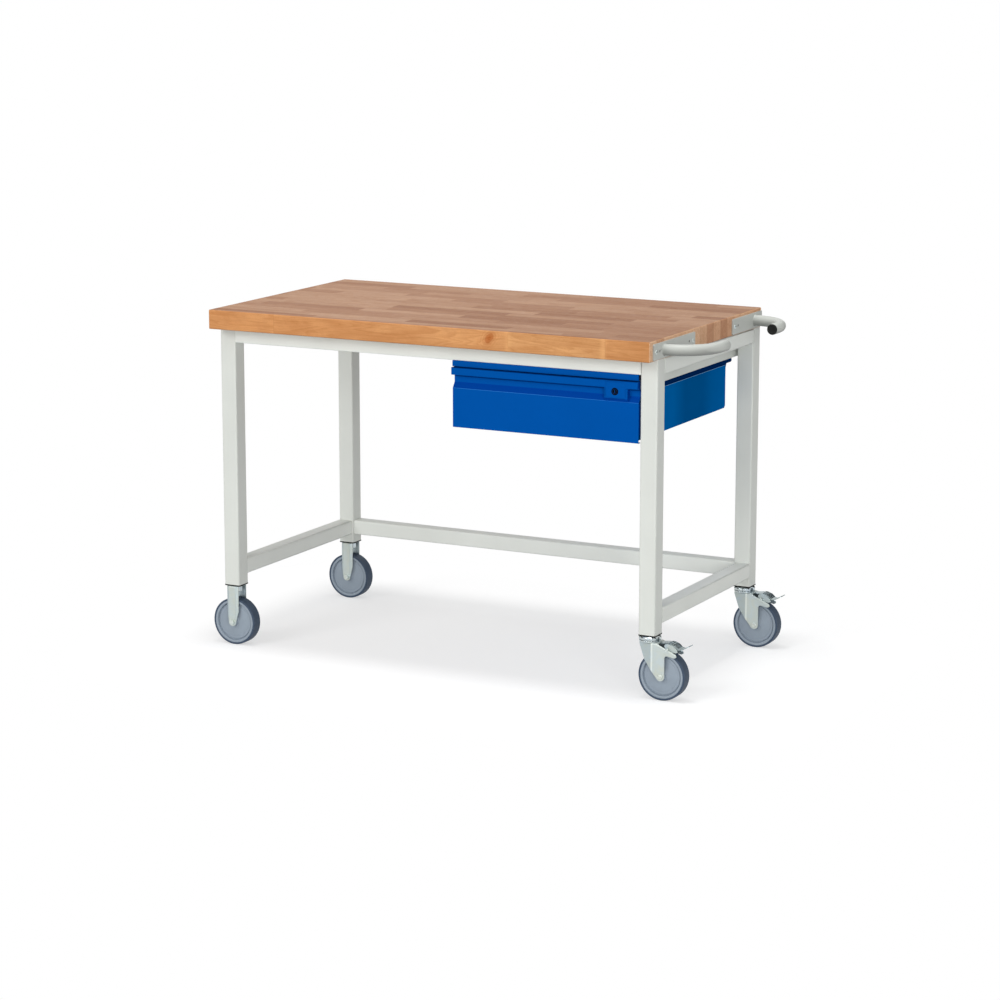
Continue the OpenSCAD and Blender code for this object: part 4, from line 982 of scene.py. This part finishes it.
def lock():
    """Black cylinder lock: a collar with a round edge, and a core with a key slot."""
    low, high = box("lock_barrel")
    x, z, r = (low.x + high.x) / 2, (low.z + high.z) / 2, (high.x - low.x) / 2
    front, back = low.y, high.y
    collar = fillet([(6.1, front + 0.9), (6.9, front + 0.1), (r - 1.0, front), (r, front + 1.2),
                     (r, front + 4),
                     (r - 0.6, front + 4.4), (r - 0.6, back), (6.1, back)],
                    [0.2, 0.5, 0.6, 0.8, 0.2, 0.2, 0.5, 0], steps=4)
    piece("vis_lock_barrel", lathe(collar, (x, 0, z), "Y", 96), LOCK_BLACK, "lock_barrel", angle=30)
    low, high = box("lock_core")
    core = fillet([(0.001, low.y + 0.6), (4.9, low.y + 0.6), (6.0, low.y + 1.7), (6.0, high.y - 4),
                   (3.0, high.y - 4),
                   (3.0, high.y), (0.001, high.y)], [0, 0.5, 0.5, 0.2, 0.2, 0.4, 0], steps=4)
    obj = piece("vis_lock_core", lathe(core, (x, 0, z), "Y", 72), LOCK_BLACK, "lock_core",
                angle=30)
    key_slot = fillet(rectangle(x - 0.9, z - 3.6, x + 0.9, z + 3.6), 0.5, steps=3)
    cut(obj, prism(key_slot, low.y - 2, low.y + 8))


def cut(obj, shape):
    """Cuts a closed shape out of an object for good."""
    tool = bpy.data.objects.new("cutter", to_mesh("cutter", *shape))
    bpy.context.scene.collection.objects.link(tool)
    boolean = obj.modifiers.new("cut", "BOOLEAN")
    boolean.object = tool
    boolean.solver = "EXACT"
    bpy.context.view_layer.update()
    done = bpy.data.meshes.new_from_object(obj.evaluated_get(bpy.context.evaluated_depsgraph_get()))
    obj.modifiers.remove(boolean)
    old = obj.data
    obj.data = done
    bpy.data.meshes.remove(old)
    mesh = tool.data
    bpy.data.objects.remove(tool)
    bpy.data.meshes.remove(mesh)


# ---------------------------------------------------------------- push handles

def handles():
    """Weld beads, end plugs and screws; the bent tubes and their plates are the CAD's own."""
    x, z = box("handle_front")[1].x - 14, middle("handle_front").z
    leaves = (("handle_front", box("handle_front")[0].y + 63, 1),
              ("handle_rear", box("handle_rear")[1].y - 48, -1))
    parts = []
    for node, y, way in leaves:
        weld(node, box(node)[0].x + 3, y, z)
        cap = fillet([(0.001, 1.4), (8.5, 1.6), (9.3, 2.0), (12.6, 2.0), (13.7, 1.0), (13.7, 0), (11.3, 0),
                      (11.3, -13),
                      (10.3, -13), (10.3, 0.2), (0.001, 0.2)], [0, 1, 0.3, 0.8, 0.8, 0, 0, 0.3, 0.3, 0.3, 0],
                     steps=4)
        parts.append(lathe([(p.x, p.y * way) for p in cap], (x, y + 134 * way, z), "Y", 72))
    piece("vis_handle_plugs", join_meshes(parts), BLACK, "handle_plugs", angle=30)
    handle_screws()


def weld(node, x, y, z):
    """Painted fillet weld where the tube meets its plate: small overlapping ripples."""
    steps, ring = 150, 8
    verts, faces = [], []
    for i in range(steps):
        a = 2 * math.pi * i / steps
        swell = 0.35 * abs(math.sin(a * 17)) + 0.15 * math.sin(a * 5 + 1)
        size = 2.6 + swell
        for k in range(ring):
            b = math.pi / 2 * k / (ring - 1)
            out = 13.9 + size * (1 - math.sin(b))
            up = -0.05 + size * (1 - math.cos(b))
            verts.append((x + up, y + out * math.cos(a), z + out * math.sin(a)))
        verts.append((x - 0.1, y + 13.5 * math.cos(a), z + 13.5 * math.sin(a)))
    n = ring + 1
    for i in range(steps):
        j = (i + 1) % steps
        for k in range(n):
            m = (k + 1) % n
            faces.append((i * n + k, i * n + m, j * n + m, j * n + k))
    piece(node + "_weld", (verts, faces), HANDLE_GREY, node, angle=60)


def handle_screws():
    """Pan heads with a cross recess, on plain shafts."""
    z = middle("handle_front").z
    f_low, f_high = box("handle_front")
    r_low, r_high = box("handle_rear")
    face = f_low.x + 3
    for i, y in enumerate((f_low.y + 14, f_high.y - 14, r_high.y - 14, r_low.y + 14)):
        head = fillet([(0.001, 3.0), (2.6, 2.95), (4.4, 2.2), (5.4, 0.9), (5.5, 0.0), (2.5, 0.0),
                       (2.5, -38.5), (0.001, -38.9)],
                      [0, 3, 2, 1, 0.1, 0, 0.3, 0], steps=4)
        obj = piece("vis_handle_screw_%d" % i, lathe(head, (face, y, z), "X", 48), ZINC, "handle_screws",
                    angle=30)
        turn = math.radians(15 + 23 * i)
        arm = [(-2.6, -0.5), (-0.5, -0.5), (-0.5, -2.6), (0.5, -2.6), (0.5, -0.5), (2.6, -0.5)]
        arm += [(-a, -b) for a, b in arm]
        c, s = math.cos(turn), math.sin(turn)
        arm = [(y + a * c - b * s, z + a * s + b * c) for a, b in arm]
        cut(obj, prism(arm, face + 1.1, face + 5, "X"))


def housing():
    """Hanging rails as rolled angles, cut away at the back, and a hem along the side panels' top edges, with
    a strip of painted highlight along the hem's top.
    """
    low, high = box("housing_rails")
    shell_low, shell_high = box("housing_shell")
    mid = (low.x + high.x) / 2
    flange = 36.0
    length, tall = high.y - low.y, high.z - low.z
    for i, way in enumerate((-1, 1)):
        web = mid + way * (high.x - mid)
        path = Path([(web - way * flange, high.z), (web, high.z), (web, low.z)], [0, 2.2, 0], steps=5)
        back = shell_high.y - low.y
        tail = path.length - tall + 9
        outline = [(0, 0), (length, 0), (length, tail - 3), (length - 5, tail), (back + 9, tail),
                   (back + 3, path.length - 8),
                   (back + 3, path.length), (0, path.length)]
        bm = flat_sheet(outline, (), path.at[1:-1])

        def where(u, v, d):
            p = path.offset(v, d * way)
            return (p.x, low.y + u, p.y)
        # the rails' navy holds painted shade
        piece("vis_housing_rails_%d" % i, bent("rail", bm, where, SHEET), NAVY_PAINTED_SHADE, "housing_rails", angle=60,
              bevel=0.3,
              bevel_angle=60)
        edge = mid + way * (shell_high.x - mid)
        top = shell_high.z
        hem = fillet([(edge - way * 1.4, top - 4), (edge - way * 1.4, top + 5.0), (edge, top + 5.0),
                      (edge, top - 0.4),
                      (edge - way * 0.4, top - 0.6), (edge - way * 0.4, top - 4)], [0, 0.65, 0.65, 0, 0, 0],
                     steps=5)
        # painted highlight: a thin light strip along the top of the hem
        glint = [(edge - way * 0.9, top + 4.2), (edge - way * 0.9, top + 5.4), (edge, top + 5.4),
                 (edge, top + 4.2)]
        for name, outline, material in (("hem", hem, HOUSING_BLUE), ("edge", glint, PANEL_EDGE_HIGHLIGHT)):
            shape = prism(outline, shell_low.y + 2, shell_high.y - 0.4)
            piece("panel_%s_%d" % (name, i), shape, material, "housing_shell", bevel=0.3)


def plug_collars():
    """Lip of each leg plug, standing a little proud of the tube."""
    low, high = box("leg_plugs")
    out, hole, wide = 22.85, 22.3, 22.5
    for i, (x,
            y) in enumerate((x, y) for x in (low.x + wide, high.x - wide) for y in (low.y + wide,
                                                                                    high.y - wide)):
        outer = fillet(rectangle(-out, -out, out, out), 3.2, steps=5)
        inner = fillet(rectangle(-hole, -hole, hole, hole), 2.8, steps=5)
        bm = flat_sheet(outer, (), (), [inner])

        def where(u, v, d):
            return (x + u, y + v, low.z + 0.1 + d)
        piece("plug_lip_%d" % i, bent("lip", bm, where, 3.1), BLACK, "leg_plugs", bevel=0.25)


def spare_holes():
    """Empty pilot holes behind the plates' spare holes: dark cups that paint the shade inside them."""
    z = middle("handle_front").z
    f_low, f_high = box("handle_front")
    parts = []
    for y in (f_low.y + 36, f_high.y - 36, box("handle_rear")[0].y + 36):
        ring = fillet([(0.001, 0.1), (3.3, 0.1), (3.3, 0.9), (2.6, 0.9), (1.8, 0.4), (0.001, 0.3)],
                      [0, 0, 0.2, 0.2, 0.2, 0], steps=3)
        parts.append(lathe(ring, (f_low.x, y, z), "X", 32))
    piece("spare_holes", join_meshes(parts), PILOT, "worktop", angle=30)


drawer()
lock()
handles()
housing()
spare_holes()
plug_collars()

# ---------------------------------------------------------------- carried-over CAD nodes

# width in millimetres, segments and angle of the rounded edges; the first three are kinds of node
EDGE = {"runner": (0.3, 2, 60), "top_rail": (0.15, 1, 60), "lower_rail": (0.2, 1, 60),
        "worktop": (1.4, 3, 30),
        "housing_shell": (0.5, 2, 60), "housing_rails": (0.5, 2, 60), "drawer_box": (0.4, 2, 60),
        "lock_cam": (0.3, 2, 50), "carrier_caps": (0.6, 2, 50)}
for node, obj in NODES.items():
    material = BY_SLOT[SLOT_OF[node]]
    if node in ("runner_fixed", "runner_middle", "runner_inner"):
        material = DARK_ZINC
    # the housing and drawer box get the blue with its painted reflection bands
    if node in ("housing_shell", "drawer_box"):
        material = HOUSING_BLUE
    if node in ("handle_front", "handle_rear"):
        material = HANDLE_GREY
    # painted light: the rails get the lighter copy of the grey paint
    if "_rail_" in node:
        material = RAIL_GREY_PAINTED_LIGHT
    if not obj.data.materials:
        obj.data.materials.append(material)
    for i in range(len(obj.material_slots)):
        obj.material_slots[i].material = material
    if obj.hide_render:
        continue
    obj.modifiers.new("weld", "WELD").merge_threshold = 0.00002
    kind = next((k for k in ("runner", "top_rail", "lower_rail") if node.startswith(k)), node)
    if "ball" not in node:
        soften(obj, *EDGE.get(kind, (0.5, 2, 50)))


# ---------------------------------------------------------------- floor, world, lights

def stage_sheet(name, corners):
    obj = bpy.data.objects.new(name, to_mesh(name, corners, [(0, 1, 2, 3)]))
    bpy.context.scene.collection.objects.link(obj)
    return obj


def seen_by(tree):
    """1 for a ray from the camera, or one that it sees by reflection or through glass, and else 0."""
    path = tree.nodes.new("ShaderNodeLightPath").outputs
    seen = path["Is Camera Ray"]
    for kind in ("Is Glossy Ray", "Is Transmission Ray"):
        most = tree.nodes.new("ShaderNodeMath")
        most.operation = "MAXIMUM"
        tree.links.new(seen, most.inputs[0])
        tree.links.new(path[kind], most.inputs[1])
        seen = most.outputs[0]
    return seen


def mixed(tree, fac, a, b):
    node = tree.nodes.new("ShaderNodeMixShader")
    if hasattr(fac, "is_output"):
        tree.links.new(fac, node.inputs[0])
    else:
        node.inputs[0].default_value = fac
    tree.links.new(a, node.inputs[1])
    tree.links.new(b, node.inputs[2])
    return node.outputs[0]


def floor():
    """Pale floor: the camera sees it lifted to white, with the soft shadow left in."""
    far = 30000
    mesh = stage_sheet("floor", [(x, y, 0) for x, y in rectangle(-far, -far, far, far)]).data
    g = Graph("pale_floor")
    soft = g.noise(g.place(), 3, 2, 0.5)
    g.finish(g.mix(soft, (0.54, 0.54, 0.54), (0.56, 0.56, 0.56)), 0.9, Specular_IOR_Level=0.0)
    x, y = g.split(g.place())[:2]
    reach = []
    for along, half in ((x, 0.64), (y, 0.36)):
        reach.append(g.math("MAXIMUM", g.math("SUBTRACT", g.math("ABSOLUTE", along), half), 0.0))
    away = g.spread(g.vector("LENGTH", g.combine(reach[0], reach[1], 0.0)), 0.04, 0.42)
    tree = g.material.node_tree
    pale = g.nodes.new("ShaderNodeBsdfDiffuse")
    pale.inputs[0].default_value = (1, 1, 1, 1)
    lift, white = g.nodes.new("ShaderNodeEmission"), g.nodes.new("ShaderNodeEmission")
    lift.inputs[0].default_value = white.inputs[0].default_value = (1, 1, 1, 1)
    lift.inputs[1].default_value, white.inputs[1].default_value = FLOOR_WHITE, 1.0
    near = mixed(tree, FLOOR_LIFT, pale.outputs[0], lift.outputs[0])
    shown = mixed(tree, away, near, white.outputs[0])
    g.links.new(mixed(tree, seen_by(tree), g.shader.outputs[0], shown), g.output.inputs[0])
    mesh.materials.append(g.material)


def world():
    scene_world = bpy.data.worlds.new("studio")
    bpy.context.scene.world = scene_world
    scene_world.use_nodes = True
    tree = scene_world.node_tree
    tree.nodes.clear()
    out = tree.nodes.new("ShaderNodeOutputWorld")
    soft, white = tree.nodes.new("ShaderNodeBackground"), tree.nodes.new("ShaderNodeBackground")
    soft.inputs[0].default_value = (0.985, 0.99, 1.0, 1)
    soft.inputs[1].default_value = WORLD_LEVEL
    white.inputs[0].default_value = (1, 1, 1, 1)
    white.inputs[1].default_value = 1.0
    tree.links.new(mixed(tree, seen_by(tree), soft.outputs[0], white.outputs[0]), out.inputs[0])


def card(name, azimuth, distance, width, height, low):
    """Dark studio flag that only reflections see, so that bright metal has something to show."""
    a = math.radians(azimuth)
    centre = Vector((math.sin(a), -math.cos(a), 0)) * distance
    across = Vector((math.cos(a), math.sin(a), 0)) * width / 2
    corners = rectangle(-1, low, 1, low + height)
    obj = stage_sheet(name, [(centre + across * u + Vector((0, 0, z))) / MM for u, z in corners])
    obj.data.materials.append(Graph(name).finish((0.02, 0.022, 0.025), 0.9, Specular_IOR_Level=0.0))
    obj.visible_camera = obj.visible_diffuse = obj.visible_shadow = obj.visible_transmission = False


def lamp(name, place, target, size, watts):
    data = bpy.data.lights.new(name, "AREA")
    data.shape = "DISK"
    data.size = size
    data.energy = watts
    obj = bpy.data.objects.new(name, data)
    obj.location = Vector(place)
    obj.rotation_euler = (Vector(target) - Vector(place)).to_track_quat("-Z", "Y").to_euler()
    bpy.context.scene.collection.objects.link(obj)


WORLD_LEVEL = 0.46
FLOOR_LIFT, FLOOR_WHITE = 0.46, 1.14
floor()
world()
for turn, wide in ((-62, 1.5), (-18, 0.6), (50, 0.7), (78, 0.9), (112, 1.4), (-120, 1.6), (165, 1.4)):
    card("flag_%d" % (turn % 360), turn, 3.2, wide, 2.2, 0.02)
lamp("top", (0.3, -0.7, 8.0), (0, 0.05, 0), 1.5, 236)
lamp("key", (-4.2, -10.5, 6.0), (0, 0, 0.5), 5.5, 385)
lamp("front", (1.8, -11.0, 1.5), (0, 0, 0.5), 3.5, 152)
lamp("fill", (8.0, -9.0, 2.8), (0, 0, 0.5), 5.0, 420)
bpy.context.scene.view_settings.view_transform = "Standard"
